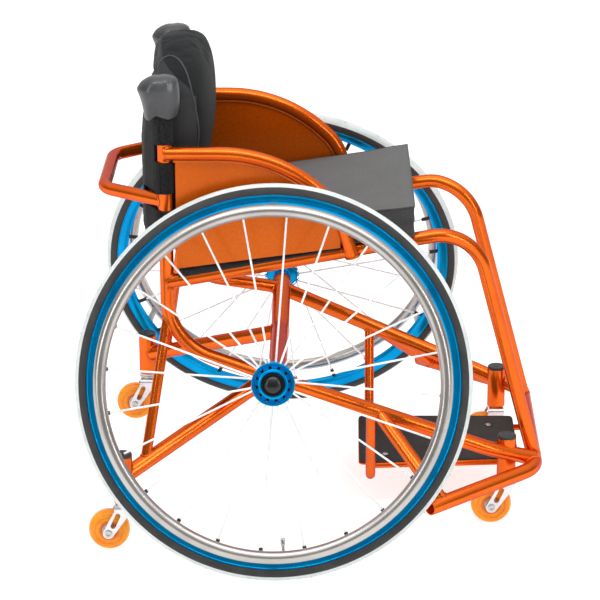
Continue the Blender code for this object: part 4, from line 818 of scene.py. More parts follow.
def fork_shell(name):
    """The folded channel, cut to the cheek's outline with its slot and its bolt eye."""
    inner, crown, foot = FORK_HALF - FORK_SHEET, FORK_RISE - CROWN_DEPTH, -0.02
    channel = rounded_top(FORK_HALF, FORK_RISE, FORK_FOLD, 6)
    channel += [(-FORK_HALF, foot), (-inner, foot)] + rounded_top(inner, crown, 0.002, 4)[::-1]
    channel += [(inner, foot), (FORK_HALF, foot)]
    folded = cut_plate(name, [channel], -0.06, 0.06)
    folded.transform(Matrix(((0, 0, 1, 0), (1, 0, 0, 0), (0, 1, 0, 0), (0, 0, 0, 1))))
    side_cut = cut_plate(name + "_side", [cheek_outline(), slot_outline()[::-1],
                                          circle(BOLT_HOLE, 24, (-TRAIL, 0), -1)], -0.05, 0.05)
    side_cut.transform(Matrix.Rotation(pi / 2, 4, "X"))
    return combined(name, folded, "INTERSECT", side_cut, 0.0006)


fork_mesh = fork_shell("caster_fork")
swivels = {}
for side in SIDES:
    for row, (lift, washer) in LIFTS_AND_WASHERS.items():
        swivel = Matrix.Translation(beside(side, *HEADS[row][:2], lift + CASTER_RADIUS))
        label = f"{side}_{row}"
        swivels[label] = swivel
        fit(show(f"{label}_fork_shell", fork_mesh.copy(), FORK_METAL, swivel),
            f"{label}_fork", "fork_silver", f"{label}_caster_fork")
        spindle_line = [(0, 0.056 + washer), (0.0058, 0.056 + washer), (0.0062, 0.049),
                        (0.0062, 0.045), (0, 0.045)]
        fit(turned(f"{label}_spindle", spindle_line, WASHER_STEEL, 32, swivel),
            f"{label}_fork", "fork_silver")
        if washer:
            ring_low, ring_high = FORK_RISE + 0.0002, FORK_RISE + washer
            middle = (ring_low + ring_high) / 2
            ring_line = fillet([(0.0066, ring_low), (HEAD_RADIUS, ring_low),
                                (HEAD_RADIUS, middle - 0.0005), (0.0150, middle - 0.0003),
                                (0.0150, middle + 0.0003), (HEAD_RADIUS, middle + 0.0005),
                                (HEAD_RADIUS, ring_high), (0.0066, ring_high)], 0.0005, 2)
            fit(turned(f"{label}_washer", ring_line, WASHER_STEEL, 56, swivel, closed=True),
                f"{label}_fork", "fork_silver")


# Caster wheels: amber urethane cast round a darker core, on two sealed bearings; a steel bolt
# with a socket head goes through the fork's eyes and two turned spacers.
def cast_urethane(name, pale, deep):
    resin = Finish(name, roughness=0.24, coat_weight=0.25, subsurface_weight=0.25, ior=1.35,
                   subsurface_radius=(0.006, 0.003, 0.0008))
    scuff = resin.noise(700.0)
    share = (resin.noise(70.0, 3.0, 0.6).smooth(0.25, 0.8) * 0.6
             + resin.noise(22.0).smooth(0.3, 0.8) * 0.4)
    return resin.feed(base_color=resin.mix(share, pale, deep), roughness=0.20 + scuff * 0.22,
                      normal=resin.bump(scuff, 0.00003))


AMBER = cast_urethane("caster_amber_urethane", (1.0, 0.36, 0.004), (0.92, 0.20, 0.002))
CORE = cast_urethane("caster_core_orange", (0.80, 0.19, 0.012), (0.62, 0.12, 0.010))
BOLT_METAL = polished("bolt_steel", (0.60, 0.59, 0.57), 0.24)
tread_line = [(0.0340, 0.0), (0.03395, 0.0030), (0.03355, 0.0058), (0.0325, 0.0086),
              (0.0308, 0.0106), (0.0290, 0.0118), (0.0272, 0.012), (0.0242, 0.012),
              (0.0234, 0.0113), (0.0225, 0.0106), (0.0178, 0.0104), (0.0166, 0.0110),
              (0.0166, 0.0060)]
urethane_line = tread_line[::-1] + [(r, -z) for r, z in tread_line[1:]]
core_line = fillet([(0.0168, 0.0060), (0.0168, 0.0108), (0.0150, 0.0116), (0.0124, 0.0116),
                    (0.0118, 0.0100), (0.0110, 0.0100), (0.0110, 0.0060)], 0.0005)
bearing_line = fillet([(0.0112, 0.0085), (0.0112, 0.0103), (0.0102, 0.0107), (0.0094, 0.0107),
                       (0.0092, 0.0100), (0.0066, 0.0100), (0.0064, 0.0107), (0.0046, 0.0107),
                       (0.0046, 0.0085)], 0.0002)
spacer_line = fillet([(0.0039, 0.0110), (0.0065, 0.0110), (0.0065, 0.0190), (0.0039, 0.0190)],
                     0.0004)
shank_line = [(0.0029, 0.0), (0.0034, 0.0), (0.0034, FORK_HALF), (0.0031, FORK_HALF + 0.0008),
              (0, FORK_HALF + 0.0008)]
bolt_head = cut_plate("bolt_head", [circle(0.006, 40), circle(0.0031, 6)[::-1]], 0, 0.0025,
                      0.0004)
for label, swivel in swivels.items():
    rolling, fork = f"{label}_caster", f"{label}_fork"
    wheel = swivel @ Matrix.Translation((-TRAIL, 0, 0)) @ Matrix.Rotation(pi / 2, 4, "X")
    fit(turned(f"{label}_urethane", urethane_line, AMBER, 96, wheel, closed=True),
        rolling, "caster_amber", f"{label}_caster_wheel")
    for face, turn in (("near", 0), ("far", pi)):
        seat = wheel @ Matrix.Rotation(turn, 4, "X")
        name = f"{label}_{face}"
        fit(turned(f"{name}_core", core_line, CORE, 72, seat), rolling, "caster_amber")
        fit(turned(f"{name}_bearing", bearing_line, WASHER_STEEL, 56, seat),
            rolling, "bolt_steel")
        fit(turned(f"{name}_spacer", spacer_line, WASHER_STEEL, 40, seat, closed=True),
            fork, "fork_silver")
        fit(show(f"{name}_bolt_head", bolt_head.copy(), BOLT_METAL,
                 seat @ Matrix.Translation((0, 0, FORK_HALF + 0.0003))),
            fork, "bolt_steel", f"{label}_caster_bolt")
        fit(turned(f"{name}_bolt_shank", shank_line, BOLT_METAL, 24, seat), fork, "bolt_steel")


# Main wheels: a narrow clincher tyre with a pale tread and charcoal walls, blown on to a deep
# blue anodised rim. Little rubber hairs from the mould's vents still stand on the tread.
SECTION_RADIUS = WHEEL_RADIUS - TYRE_SECTION
TREAD_ANGLE = radians(60)
BEAD_RADIUS = 0.3021
HAIR_PAIRS = 42
wheel_places = {}
for side in SIDES:
    turn = Euler((pi / 2 - CAMBER, 0, pi if side == "left" else 0)).to_matrix().to_4x4()
    wheel_places[side] = Matrix.Translation(beside(side, 0, WHEEL_Y, AXLE_Z)) @ turn
bead_angle = acos((BEAD_RADIUS - SECTION_RADIUS) / TYRE_SECTION)
section = []
for step in range(-28, 29):
    angle = bead_angle * step / 28
    swell = TYRE_SECTION
    if abs(angle) < TREAD_ANGLE:
        swell += 0.00025 - 0.0003 * (1 - cos(2 * angle))
    section.append((SECTION_RADIUS + swell * cos(angle), -swell * sin(angle)))
tyre_line = [(0.2960, 0.0080), (0.3015, 0.0085), *section, (0.3015, -0.0085), (0.2960, -0.0080)]
tread_middle = sum((Vector(first) - Vector(second)).length
                   for first, second in zip(tyre_line[:30], tyre_line[1:]))
tread_half = TYRE_SECTION * TREAD_ANGLE
rubber = Finish("tyre_rubber", ior=1.5)
around, across, _ = rubber.axes(rubber.unwrapped())
off_middle = abs(across - tread_middle)
is_wall = off_middle.smooth(tread_half - 0.0003, tread_half + 0.0003)
file_cut = ((around * 1340 + off_middle * 700) % 1.0).smooth(0.25, 0.4)
fine_ribs = (off_middle * 5200).sine()
casing = ((around * 2400 + across * 1500) % 1.0).smooth(0.4, 0.6)
grime = rubber.noise(30.0, 4.0)
grain = rubber.noise(900.0)
tread_colour = rubber.mix(grime.smooth(0.35, 0.8), (0.78, 0.83, 0.82), (0.64, 0.69, 0.68))
wall_colour = rubber.mix(grime.smooth(0.3, 0.8), (0.028, 0.027, 0.027), (0.048, 0.046, 0.045))
relief = (1 - is_wall) * file_cut + is_wall * (casing * 0.25 + fine_ribs * 0.2) + grain * 0.1
RUBBER = rubber.feed(base_color=rubber.mix(is_wall, tread_colour, wall_colour),
                     roughness=0.58 + grain * 0.22, normal=rubber.bump(relief, 0.00022))
rim_metal = Finish("rim_blue_anodised", metallic=1.0, coat_roughness=0.08,
                   specular_tint=(0.0, 0.62, 1.0, 1))
turning = rim_metal.noise(1.0, spot=rim_metal.unwrapped((2.0, 2600.0, 1.0)))
cloud = rim_metal.noise(14.0)
RIM_BLUE = rim_metal.feed(base_color=rim_metal.mix(cloud.smooth(0.3, 0.7), (0.0, 0.350, 0.74),
                                                   (0.0, 0.270, 0.63)),
                          roughness=0.27 + turning * 0.12, coat_weight=0.12 - cloud * 0.05,
                          normal=rim_metal.bump(turning, 0.00001))
rim_side = [(0.2962, 0.0083), (0.3000, 0.0086), (0.3014, 0.0090), (0.3018, 0.0097),
            (0.3016, 0.0104), (0.3008, 0.0109), (0.2998, 0.0108), (0.2989, 0.0102),
            (0.2930, 0.0100), (0.2905, 0.0096), (0.2880, 0.0087), (0.2855, 0.0073),
            (0.2838, 0.0055), (0.2828, 0.0035), (0.2823, 0.0012)]
rim_line = rim_side + [(r, -z) for r, z in rim_side[::-1]] + [(0.2950, -0.0050), (0.2950, 0.0050)]
vents = []
for number in range(HAIR_PAIRS):
    angle = 2 * pi * (number + 0.35 * sin(number * 2.4)) / HAIR_PAIRS
    ray = Vector((cos(angle), sin(angle), 0))
    for lean in (-0.24, 0.24):
        rise = Vector((0, 0, sin(lean)))
        foot = ray * (SECTION_RADIUS + 0.0122 * cos(lean)) + rise * TYRE_SECTION
        vents.append([foot, foot + (ray + rise) * (0.0014 + 0.0006 * sin(number * 5))])
for side, place in wheel_places.items():
    body = f"{side}_wheel"
    fit(turned(f"{side}_clincher", tyre_line, RUBBER, 288, place),
        body, "tyre_rubber", f"{side}_tyre")
    fit(turned(f"{side}_deep_rim", rim_line, RIM_BLUE, 288, place, closed=True),
        body, "rim_blue", f"{side}_rim")
    fit(tube_maker.grow(f"{side}_vent_hairs", vents, RUBBER, place, Radius=0.00035, Sides=5),
        body, "tyre_rubber")


# Pushrims: a bright aluminium ring bent from tube, welded to six short tabs that are riveted
# through the rim's wall, so that the hands can drive the wheel without touching the tyre.
PUSHRIM_RADIUS = 0.2767
PUSHRIM_HALF = 0.0205 / 2
STANDOFF = 0.0452
TAB_FOOT, TAB_LENGTH, TAB_LEAN, TAB_WELD_HALF = 0.0078, 0.0352, 0.36, 0.0078
satin = Finish("pushrim_satin_aluminium", metallic=0.95)
brushed = satin.noise(1.0, 3.0, spot=satin.unwrapped((26.0, 5200.0, 1.0)))
worn = satin.noise(16.0, 4.0)
PUSHRIM_METAL = satin.feed(base_color=satin.mix(worn.smooth(0.35, 0.75), (0.52, 0.49, 0.46),
                                                (0.42, 0.395, 0.37)),
                           roughness=0.20 + brushed * 0.12 + worn * 0.07,
                           normal=satin.bump(brushed, 0.000012))
TAB_METAL = polished("tab_aluminium", (0.72, 0.70, 0.68), 0.28)
ring_maker = Maker("ring_of_pieces", Count=6, Phase=0.0)
spots = ring_maker.node("GeometryNodeMeshLine", None, {"Count": ring_maker["Count"],
                                                       "Offset": (0, 0, 0)})
angle = (ring_maker["Phase"]
         + ring_maker.node("GeometryNodeInputIndex") * (2 * pi) / ring_maker["Count"])
heading = ring_maker.node("ShaderNodeCombineXYZ", None, {"Z": angle})
ring_maker.deliver(ring_maker.node("GeometryNodeInstanceOnPoints", None,
                                   {"Points": spots, "Instance": ring_maker["Geometry"],
                                    "Rotation": heading}))
hoop_line = circle(PUSHRIM_HALF, 28, (PUSHRIM_RADIUS, STANDOFF))
tab_side = [(0.008, 0.0), (0.0066, 0.012), (0.0060, 0.020), (0.0072, 0.030), (0.0080, TAB_LENGTH)]
tab_mesh = cut_plate("pushrim_tab", [[(-x, y) for x, y in tab_side] + tab_side[::-1]],
                     -0.0015, 0.0015, 0.0006)
tab_mesh.transform(Matrix(((0, -TAB_LEAN, 1, PUSHRIM_RADIUS + TAB_LEAN * TAB_LENGTH),
                           (1, 0, 0, 0), (0, 1, 0, TAB_FOOT), (0, 0, 0, 1))))
tab_welds = []
for number in range(6):
    turn = Matrix.Rotation(2 * pi * (number + 0.5) / 6, 3, "Z")
    for offset in (-0.0018, 0.0018):
        drop = sqrt(PUSHRIM_HALF ** 2 - offset ** 2)
        tab_welds.append([turn @ Vector((PUSHRIM_RADIUS + offset, TAB_WELD_HALF * step / 6,
                                         STANDOFF - drop)) for step in range(-6, 7)])
for side, place in wheel_places.items():
    body = f"{side}_wheel"
    fit(turned(f"{side}_push_hoop", hoop_line, PUSHRIM_METAL, 288, place, closed=True),
        body, "pushrim_silver", f"{side}_pushrim")
    fit(ring_maker.grow(f"{side}_hoop_tabs", tab_mesh.copy(), TAB_METAL, place, Phase=pi / 6),
        body, "pushrim_silver")
    fit(bead_maker.grow(f"{side}_hoop_tab_welds", tab_welds, TAB_METAL, place, Radius=0.0011),
        body, "pushrim_silver")


# Hubs: turned from bar and anodised blue. Twelve white spokes hook into notches in each flange
# and run to black nipples in the rim; a valve stands between two of them.
HUB_FACE = 0.0405
SPOKE_PHASE = radians(10.6)
TWELFTH = 2 * pi / 12
SPOKE_FOOT, SPOKE_TIP, NIPPLE_LENGTH = 0.0290, 0.2835, 0.0155
OUTER_HOOK, INNER_HOOK = 0.0352, -0.0450


def notched(radius, notch_half, notch_depth, phase):
    """A flange's outline, with a notch for each of its twelve spokes."""
    outline = []
    for number in range(12):
        middle = phase + TWELFTH * number
        half = notch_half / radius
        floor = radius - notch_depth
        outline += arc((0, 0), radius, middle - TWELFTH / 2 + 0.001, middle - half, 6)
        outline += arc((0, 0), floor, middle - notch_half / floor, middle + notch_half / floor, 3)
        outline += arc((0, 0), radius, middle + half, middle + TWELFTH / 2 - 0.001, 6)
    return outline


def spoke_holes(ring, radius, phase):
    return [circle(radius, 16, (ring * cos(phase + TWELFTH * number),
                                ring * sin(phase + TWELFTH * number)), -1)
            for number in range(12)]


def from_face(*outline):
    """(radius, height) points whose heights are measured from the hub's outer face."""
    return [(radius, HUB_FACE + height) for radius, height in outline]


enamel = Finish("spoke_white_enamel", coat_weight=0.4, coat_roughness=0.1, ior=1.5)
dust = enamel.noise(120.0, 3.0)
SPOKE_ENAMEL = enamel.feed(base_color=enamel.mix(dust.smooth(0.4, 0.8), (0.93, 0.93, 0.93),
                                                 (0.84, 0.84, 0.83)),
                           roughness=0.26 + dust * 0.12, normal=enamel.bump(dust, 0.00001))
VALVE_CHROME = polished("valve_chrome", (0.62, 0.61, 0.58), 0.12)
NIPPLE_BLACK = polished("nipple_black_brass", (0.035, 0.035, 0.036), 0.28, 0.7)
barrel_line = fillet([(0.0205, 0.0390), (0.0205, 0.0322), (0.0312, 0.0318), (0.0300, 0.0305),
                      (0.0180, 0.0280), (0.0160, 0.0240), (0.0156, 0.0), (0.0160, -0.0270),
                      (0.0180, -0.0350), (0.0270, -0.0410), (0.0290, -0.0440), (0.0250, -0.0475),
                      (0.0140, -0.0480), (0.0140, -0.0605), (0.0068, -0.0605)], 0.004, 4)
lip_line = fillet(from_face((0.0187, -0.0030), (0.0187, 0.0028), (0.0192, 0.0034),
                            (0.0208, 0.0034), (0.0214, 0.0026), (0.0216, -0.0016),
                            (0.0222, -0.0026), (0.0222, -0.0040), (0.0187, -0.0040)), 0.0005)
brim_line = fillet(from_face((0.0302, -0.0030), (0.0302, 0), (0.0308, 0.0004), (0.0343, 0.0004),
                             (0.0350, -0.0003), (0.0350, -0.0014), (0.0330, -0.0030)), 0.0004)
trough_line = from_face((0.0212, -0.0016), (0.0222, -0.0034), (0.0240, -0.0042),
                        (0.0266, -0.0042), (0.0286, -0.0032), (0.0301, -0.0010),
                        (0.0312, -0.0010), (0.0312, -0.0052), (0.0290, -0.0062),
                        (0.0225, -0.0062), (0.0212, -0.0050))
# A black ring set behind the drilled holes: painted shade, so each hole looks dark inside.
shade_line = from_face((0.0210, -0.0070), (0.0315, -0.0070), (0.0315, -0.0080),
                       (0.0210, -0.0080))
valve_line = fillet([(0, 0.0310), (0.0020, 0.0308), (0.0036, 0.0292), (0.0040, 0.0265),
                     (0.0040, 0.0205), (0.0036, 0.0192), (0.0027, 0.0188), (0.0027, 0.0030),
                     (0.0050, 0.0022), (0.0050, 0.0), (0, 0.0)], 0.0004)
valve_seat = (Matrix.Rotation(radians(-86.7), 4, "Z") @ Matrix.Translation((0.2820, 0, 0))
              @ Matrix.Rotation(-pi / 2, 4, "Y"))
trough = turned("hub_trough", trough_line, RIM_BLUE, 96, closed=True)
drills = cut_plate("hub_drills", [hole[::-1] for hole in spoke_holes(0.0268, 0.0027, SPOKE_PHASE)],
                   HUB_FACE - 0.02, HUB_FACE + 0.01)
trough_mesh = combined("hub_trough", trough.data.copy(), "DIFFERENCE", drills)
bpy.data.objects.remove(trough, do_unlink=True)
notched_mesh = cut_plate("hub_notches", [notched(0.0350, 0.0018, 0.0034, SPOKE_PHASE),
                                         circle(0.0308, 96, way=-1)],
                         HUB_FACE - 0.0085, HUB_FACE - 0.0014, 0.0005)
inner_phase = SPOKE_PHASE + TWELFTH / 2
inner_mesh = cut_plate("hub_inner", [notched(0.0310, 0.0016, 0.003, inner_phase),
                                     circle(0.0150, 48, way=-1),
                                     *spoke_holes(0.0255, 0.0022, inner_phase)],
                       -0.0470, -0.0430, 0.0006)
spoke_paths = []
nipple_paths = []
for number in range(24):
    angle = SPOKE_PHASE + TWELFTH / 2 * number
    ray = Vector((cos(angle), sin(angle), 0))
    start = ray * SPOKE_FOOT + Vector((0, 0, INNER_HOOK if number % 2 else OUTER_HOOK))
    tip = ray * SPOKE_TIP
    spoke_paths.append([start, tip])
    nipple_paths.append([tip - (tip - start).normalized() * NIPPLE_LENGTH, tip])
for side, place in wheel_places.items():
    body = f"{side}_wheel"
    fit(turned(f"{side}_hub_barrel", barrel_line, RIM_BLUE, 96, place),
        body, "rim_blue", f"{side}_spoked_hub")
    fit(turned(f"{side}_hub_lip", lip_line, RIM_BLUE, 96, place, closed=True), body, "rim_blue")
    # The black ring of painted shade behind the drilled holes.
    fit(turned(f"{side}_hub_shade", shade_line, NIPPLE_BLACK, 64, place, closed=True),
        body, "axle_black")
    fit(turned(f"{side}_hub_brim", brim_line, RIM_BLUE, 96, place, closed=True),
        body, "rim_blue")
    for name, mesh in (("trough", trough_mesh), ("notched_ring", notched_mesh),
                       ("inner_flange", inner_mesh)):
        fit(show(f"{side}_hub_{name}", mesh.copy(), RIM_BLUE, place), body, "rim_blue")
    fit(tube_maker.grow(f"{side}_spokes", spoke_paths, SPOKE_ENAMEL, place, Radius=0.0017,
                        Sides=12), body, "rim_blue")
    fit(tube_maker.grow(f"{side}_nipples", nipple_paths, NIPPLE_BLACK, place, Radius=0.0034,
                        Sides=8), body, "axle_black")
    fit(turned(f"{side}_valve", valve_line, VALVE_CHROME, 24, place @ valve_seat),
        body, "pushrim_silver")


# Quick-release axles: a black pin through each hub into the camber bar. Its head is a plain ring,
# and a domed plastic button in it frees the locking balls when it is pressed.
PIN_BLACK = polished("axle_pin_black", (0.006, 0.006, 0.007), 0.24, 0.5)
BUTTON_PLASTIC = moulded_grey("button_plastic", (0.006, 0.006, 0.007), 0.18)
BUTTON_RADIUS = 0.0140
pin_line = fillet([(0, 0.0350), (0.0143, 0.0370), (0.0143, 0.0530), (0.0180, 0.0530),
                   (0.0180, 0.0443), (0.0062, 0.0443), (0.0062, -0.1110), (0, -0.1110)], 0.0006)
button_line = [(BUTTON_RADIUS * sin(pi / 2 * step / 12), 0.0528 + 0.0056 * cos(pi / 2 * step / 12))
               for step in range(13)]
button_line += [(BUTTON_RADIUS, 0.0505), (0.0030, 0.0500), (0, 0.0500)]
for side, place in wheel_places.items():
    fit(turned(f"{side}_pin_head", pin_line, PIN_BLACK, 72, place),
        "frame", "axle_black", f"{side}_axle_pin")
    fit(turned(f"{side}_button_dome", button_line, BUTTON_PLASTIC, 72, place),
        f"{side}_button", "axle_black", f"{side}_release_button")


# Footrest: an aluminium plate cut from sheet, with a round rod welded under each side edge and two
# bent lugs on the bumper. A grit-faced grip mat covers it, held by four countersunk screws.
PLATE_TILT = radians(1.05)
PLATE_SHEET = 0.003
PLATE_REAR, PLATE_FRONT = (-0.020, 0.106), (0.254, 0.096)
ROD_RADIUS = 0.0045
MAT_LOW = PLATE_SHEET + 0.0003
MAT_HIGH = MAT_LOW + 0.003
plate_seat = (Matrix.Translation(at(HANGER_X, 0, HANGER_UP + HANGER_TUBE / 2 + 0.0003))
              @ Matrix.Rotation(-PLATE_TILT, 4, "Y"))


def plate_outline(inset, corner):
    """The tapered plate with rounded corners, measured from the hanger's line."""
    rear, wide = PLATE_REAR[0] + inset + corner, PLATE_REAR[1] - inset - corner
    front, narrow = PLATE_FRONT[0] - inset - corner, PLATE_FRONT[1] - inset - corner
    centres = ((front, narrow), (rear, wide), (rear, -wide), (front, -narrow))
    return [point for quarter, centre in enumerate(centres)
            for point in arc(centre, corner, pi / 2 * quarter, pi / 2 * (quarter + 1), 6)]


plate = cut_plate("footrest_plate", [plate_outline(0, 0.010)], 0, PLATE_SHEET, 0.0005)
fit(show("footrest_plate", plate, FRAME_PAINT, plate_seat), "frame", "frame_paint", "footplate")
rod_ends = []
for sign in SIDES.values():
    edge = [(x, sign * (straight(x, PLATE_REAR, PLATE_FRONT) - ROD_RADIUS))
            for x in (0.0, PLATE_FRONT[0] - 0.010)]
    rod_ends.append([plate_seat @ Vector((x, y, -0.0037)) for x, y in edge])
fit(tube_maker.grow("footrest_rods", rod_ends, FRAME_PAINT, Radius=ROD_RADIUS, Sides=24),
    "frame", "frame_paint")
lug_side = [(PLATE_FRONT[0] - 0.012, -0.0002), (PLATE_FRONT[0] - 0.012, -0.0040),
            (0.2745, -0.0040), *arc((0.2745, 0.0010), 0.0050, -pi / 2, 0, 5), (0.2795, 0.0235),
            (0.2757, 0.0235), (0.2757, 0.0030), *arc((0.2730, 0.0030), 0.0027, 0, -pi / 2, 4),
            (0.2730, -0.0002)]
lug = cut_plate("footrest_lug", [lug_side], -0.010, 0.010, 0.0006)
for side, sign in SIDES.items():
    lug_seat = (plate_seat @ Matrix.Translation((0, sign * 0.060, 0))
                @ Matrix.Rotation(pi / 2, 4, "X"))
    fit(show(f"{side}_footrest_lug", lug.copy(), FRAME_PAINT, lug_seat), "frame", "frame_paint")

grit = Finish("grip_mat_grit", ior=1.25)
grain = grit.each_cell(1100.0)
scuffs = grit.noise(18.0, 5.0, 0.7)
MAT_GRIT = grit.feed(base_color=grit.mix(grain * 0.75 + scuffs.smooth(0.45, 0.8) * 0.25,
                                         (0.020, 0.019, 0.018), (0.085, 0.080, 0.076)),
                     roughness=0.62 + grain * 0.3, normal=grit.bump(1 - grit.cells(1100.0), 0.0005))
mat = cut_plate("footrest_mat", [plate_outline(0.001, 0.009)], MAT_LOW, MAT_HIGH, 0.0004)
fit(show("footrest_grip_mat", mat, MAT_GRIT, plate_seat), "frame", "mat_grit", "grip_mat")
SCREW_STEEL = polished("screw_steel", (0.75, 0.74, 0.72), 0.18)
cup_line = fillet([(0.0046, 0.0002), (0.0050, 0.0010), (0.0078, 0.0004), (0.0080, -0.0006),
                   (0.0040, -0.0006)], 0.0003)
socket_floor = [(0, -0.0004), (0.0026, -0.0004), (0.0026, -0.0008), (0, -0.0008)]
screw_top = cut_plate("mat_screw", [circle(0.0048, 32), circle(0.0021, 6)[::-1]],
                      -0.0008, 0.0012, 0.0005)
for number, (x, y) in enumerate(((0.026, -0.075), (0.026, 0.075), (0.209, -0.0525),
                                 (0.209, 0.0525))):
    seat = plate_seat @ Matrix.Translation((x, y, MAT_HIGH))
    for piece in (turned(f"mat_cup_washer_{number}", cup_line, NIPPLE_BLACK, 40, seat, closed=True),
                  show(f"mat_screw_{number}", screw_top.copy(), SCREW_STEEL, seat),
                  turned(f"mat_screw_floor_{number}", socket_floor, SCREW_STEEL, 12, seat)):
        fit(piece, "frame", "bolt_steel")


# Side guards: a painted sheet welded into each bent guard tube, cut straight along its foot just
# over the seat rail. It keeps clothes off the wheel, and mirrors the pushrim in its gloss.
PANEL_REAR = -0.160
SHEET_PAINT = candy_orange("sheet_candy_orange", (0.62, 0.120, 0.004), (0.50, 0.086, 0.002), 0.24,
                           0.50)
# Black for the cords of painted shade in the guard sheets' inner corners.
SHADE_CORD_BLACK = moulded_grey("guard_painted_shade_black", (0.02, 0.02, 0.02), 0.5)


def rail_height(x):
    """Height of the seat rail's centre line on its straight run."""
    return straight(x, RAIL_REAR[::2], RAIL_FRONT[::2])


def panel_foot(x):
    """Height of the guard sheet's straight foot, which nears the rail towards the front."""
    return rail_height(x) + straight(x, (PANEL_REAR, 0.0222), (SHEET_FRONT, 0.0139))


shade_cord_lines = []
for side, sign in SIDES.items():
    outline = [(PANEL_REAR, GUARD_TOP)]
    for place in tubes[f"{side}_guard_tube"][0][1:]:
        x = place.x - AXLE_X
        if place.z > panel_foot(x) + 0.006:
            outline.append((x, place.z))
    front = outline[-1][0]
    outline += [(front, panel_foot(front)), (PANEL_REAR, panel_foot(PANEL_REAR))]
    sheet = cut_plate("guard_sheet", [outline], -0.001, 0.001, 0.0004)
    stand = Matrix.Translation(beside(side, 0, GUARD_Y, 0)) @ Matrix.Rotation(pi / 2, 4, "X")
    fit(show(f"{side}_guard_sheet", sheet, SHEET_PAINT, stand), "frame", "frame_paint",
        f"{side}_guard_panel")
    # On the inner side a thin black cord fills the corner between sheet and tube: painted shade, a
    # dark line put where the recess between them lies in shadow.
    corner_line = under_guard(side, 0.0118, lambda x, z: x > PANEL_REAR
                              and z > panel_foot(x) + 0.02)
    shade_cord_lines.append([place - Vector((0, sign * 0.0022, 0)) for place in corner_line])
# The cords of painted shade along the guard sheets' inner corners.
fit(tube_maker.grow("guard_sheet_shade_cords", shade_cord_lines, SHADE_CORD_BLACK, Radius=0.0013, Sides=10),
    "frame", "cap_plastic")


# Seat sling: strong black webbing cloth stretched across the seat and wrapped over both rails,
# sewn along its hems. The cushion lies in its shallow sag.
def woven(name, pale, dark, threads, roughness=0.8, sheen=0.25):
    """Plain-woven cloth, warp over weft, with a loose fibre here and there and uneven dye."""
    cloth = Finish(name, sheen_weight=sheen, sheen_roughness=0.5, ior=1.2)
    x, y, z = ((axis * (threads * 2 * pi)).sine() for axis in cloth.axes())
    weave = x * y + y * z + z * x
    fibre = cloth.noise(2600.0)
    shade = cloth.noise(26.0, 4.0)
    share = weave * 0.12 + 0.5 + (fibre - 0.5) * 0.5 + (shade - 0.5) * 0.5
    return cloth.feed(base_color=cloth.mix(share, dark, pale), roughness=roughness + fibre * 0.15,
                      normal=cloth.bump(weave * 0.4 + fibre, 0.00025))


def sheet_mesh(name, rows, keep=None):
    """A sheet of cloth through rows of points, without the cells that keep() turns down."""
    body = bmesh.new()
    grid = [[body.verts.new(place) for place in row] for row in rows]
    for near, far in zip(grid, grid[1:]):
        for corners in zip(near, near[1:], far[1:], far):
            if keep is None or keep(sum((corner.co for corner in corners), Vector()) / 4):
                body.faces.new(corners)
    loose = [vert for vert in body.verts if not vert.link_faces]
    bmesh.ops.delete(body, geom=loose, context="VERTS")
    area = sum(face.calc_area() for face in body.faces)
    return as_mesh(name, body, outward=False), area


def give_cloth(piece, thickness, offset=0.0):
    """Gives a sheet the thickness of its cloth, with soft edges."""
    thicken(piece, thickness, offset)
    soften(piece, 0.0004, 60)


SLING_WEB = woven("sling_webbing", (0.040, 0.040, 0.042), (0.018, 0.018, 0.019), 620)
THREAD = woven("sewing_thread_grey", (0.10, 0.10, 0.105), (0.055, 0.055, 0.058), 1500)
SLING_REAR, SLING_FRONT = -0.158, 0.106
SLING_CLOTH = 0.0022
SLING_SAG = 0.012
SLING_WRAP = RAIL_TUBE / 2 + 0.0006
sling_rows = []
for station in range(25):
    x = straight(station, (0, SLING_REAR), (24, SLING_FRONT))
    wrap = arc((straight(x, RAIL_REAR[:2], RAIL_FRONT[:2]), rail_height(x)), SLING_WRAP,
               radians(42), radians(105), 12)
    inner, edge = wrap[-1]
    row = list(wrap)
    for step in range(1, 32):
        y = inner * (1 - 2 * step / 32)
        ripple = 0.0006 * sin(x * 90) * sin(y * 55)
        row.append((y, edge - SLING_SAG * (1 - (y / inner) ** 2) + ripple))
    row += [(-y, z) for y, z in wrap[::-1]]
    sling_rows.append([at(x, y, z) for y, z in row])
sling_mesh, sling_area = sheet_mesh("seat_sling_web", sling_rows)
sling = show("seat_sling_web", sling_mesh, SLING_WEB)
if sling.data.polygons[len(sling.data.polygons) // 2].normal.z < 0:
    sling.data.flip_normals()
give_cloth(sling, SLING_CLOTH, 1.0)
fit(sling, "frame", "sling_web", "seat_sling")

stitch_maker = Maker("stitches", Length=0.003, Gap=0.0012, Radius=0.0004)
dots = stitch_maker.node("GeometryNodeCurveToPoints", {"mode": "LENGTH"},
                         {"Curve": stitch_maker.line(),
                          "Length": stitch_maker["Length"] + stitch_maker["Gap"]})
start, end = (stitch_maker.node("ShaderNodeCombineXYZ", None,
                                {"Z": stitch_maker["Length"] * share}) for share in (-0.5, 0.5))
thread = stitch_maker.node("GeometryNodeCurvePrimitiveLine", None, {"Start": start, "End": end})
stitch_maker.deliver(stitch_maker.node("GeometryNodeInstanceOnPoints", None,
                                       {"Points": dots, "Rotation": dots.out("Rotation"),
                                        "Instance": stitch_maker.sweep(thread, 5, True)}))
roll_lines = [[row[end] + Vector((0, out * SLING_CLOTH / 2, SLING_CLOTH * 0.4))
               for row in sling_rows] for end, out in ((0, -1), (-1, 1))]
rolls = tube_maker.grow("seat_sling_rolled_hems", roll_lines, SLING_WEB, Radius=0.0024, Sides=16)
hem_lines = [[place + Vector((0, place.y, place.z - 0.30)).normalized() * SLING_CLOTH
              for place in sling_rows[row]] for row in (1, 2, 22, 23)]
hems = stitch_maker.grow("seat_sling_stitches", hem_lines, THREAD, Radius=0.0005)
fit(rolls, "frame", "sling_web")
fit(hems, "frame", "sling_web")


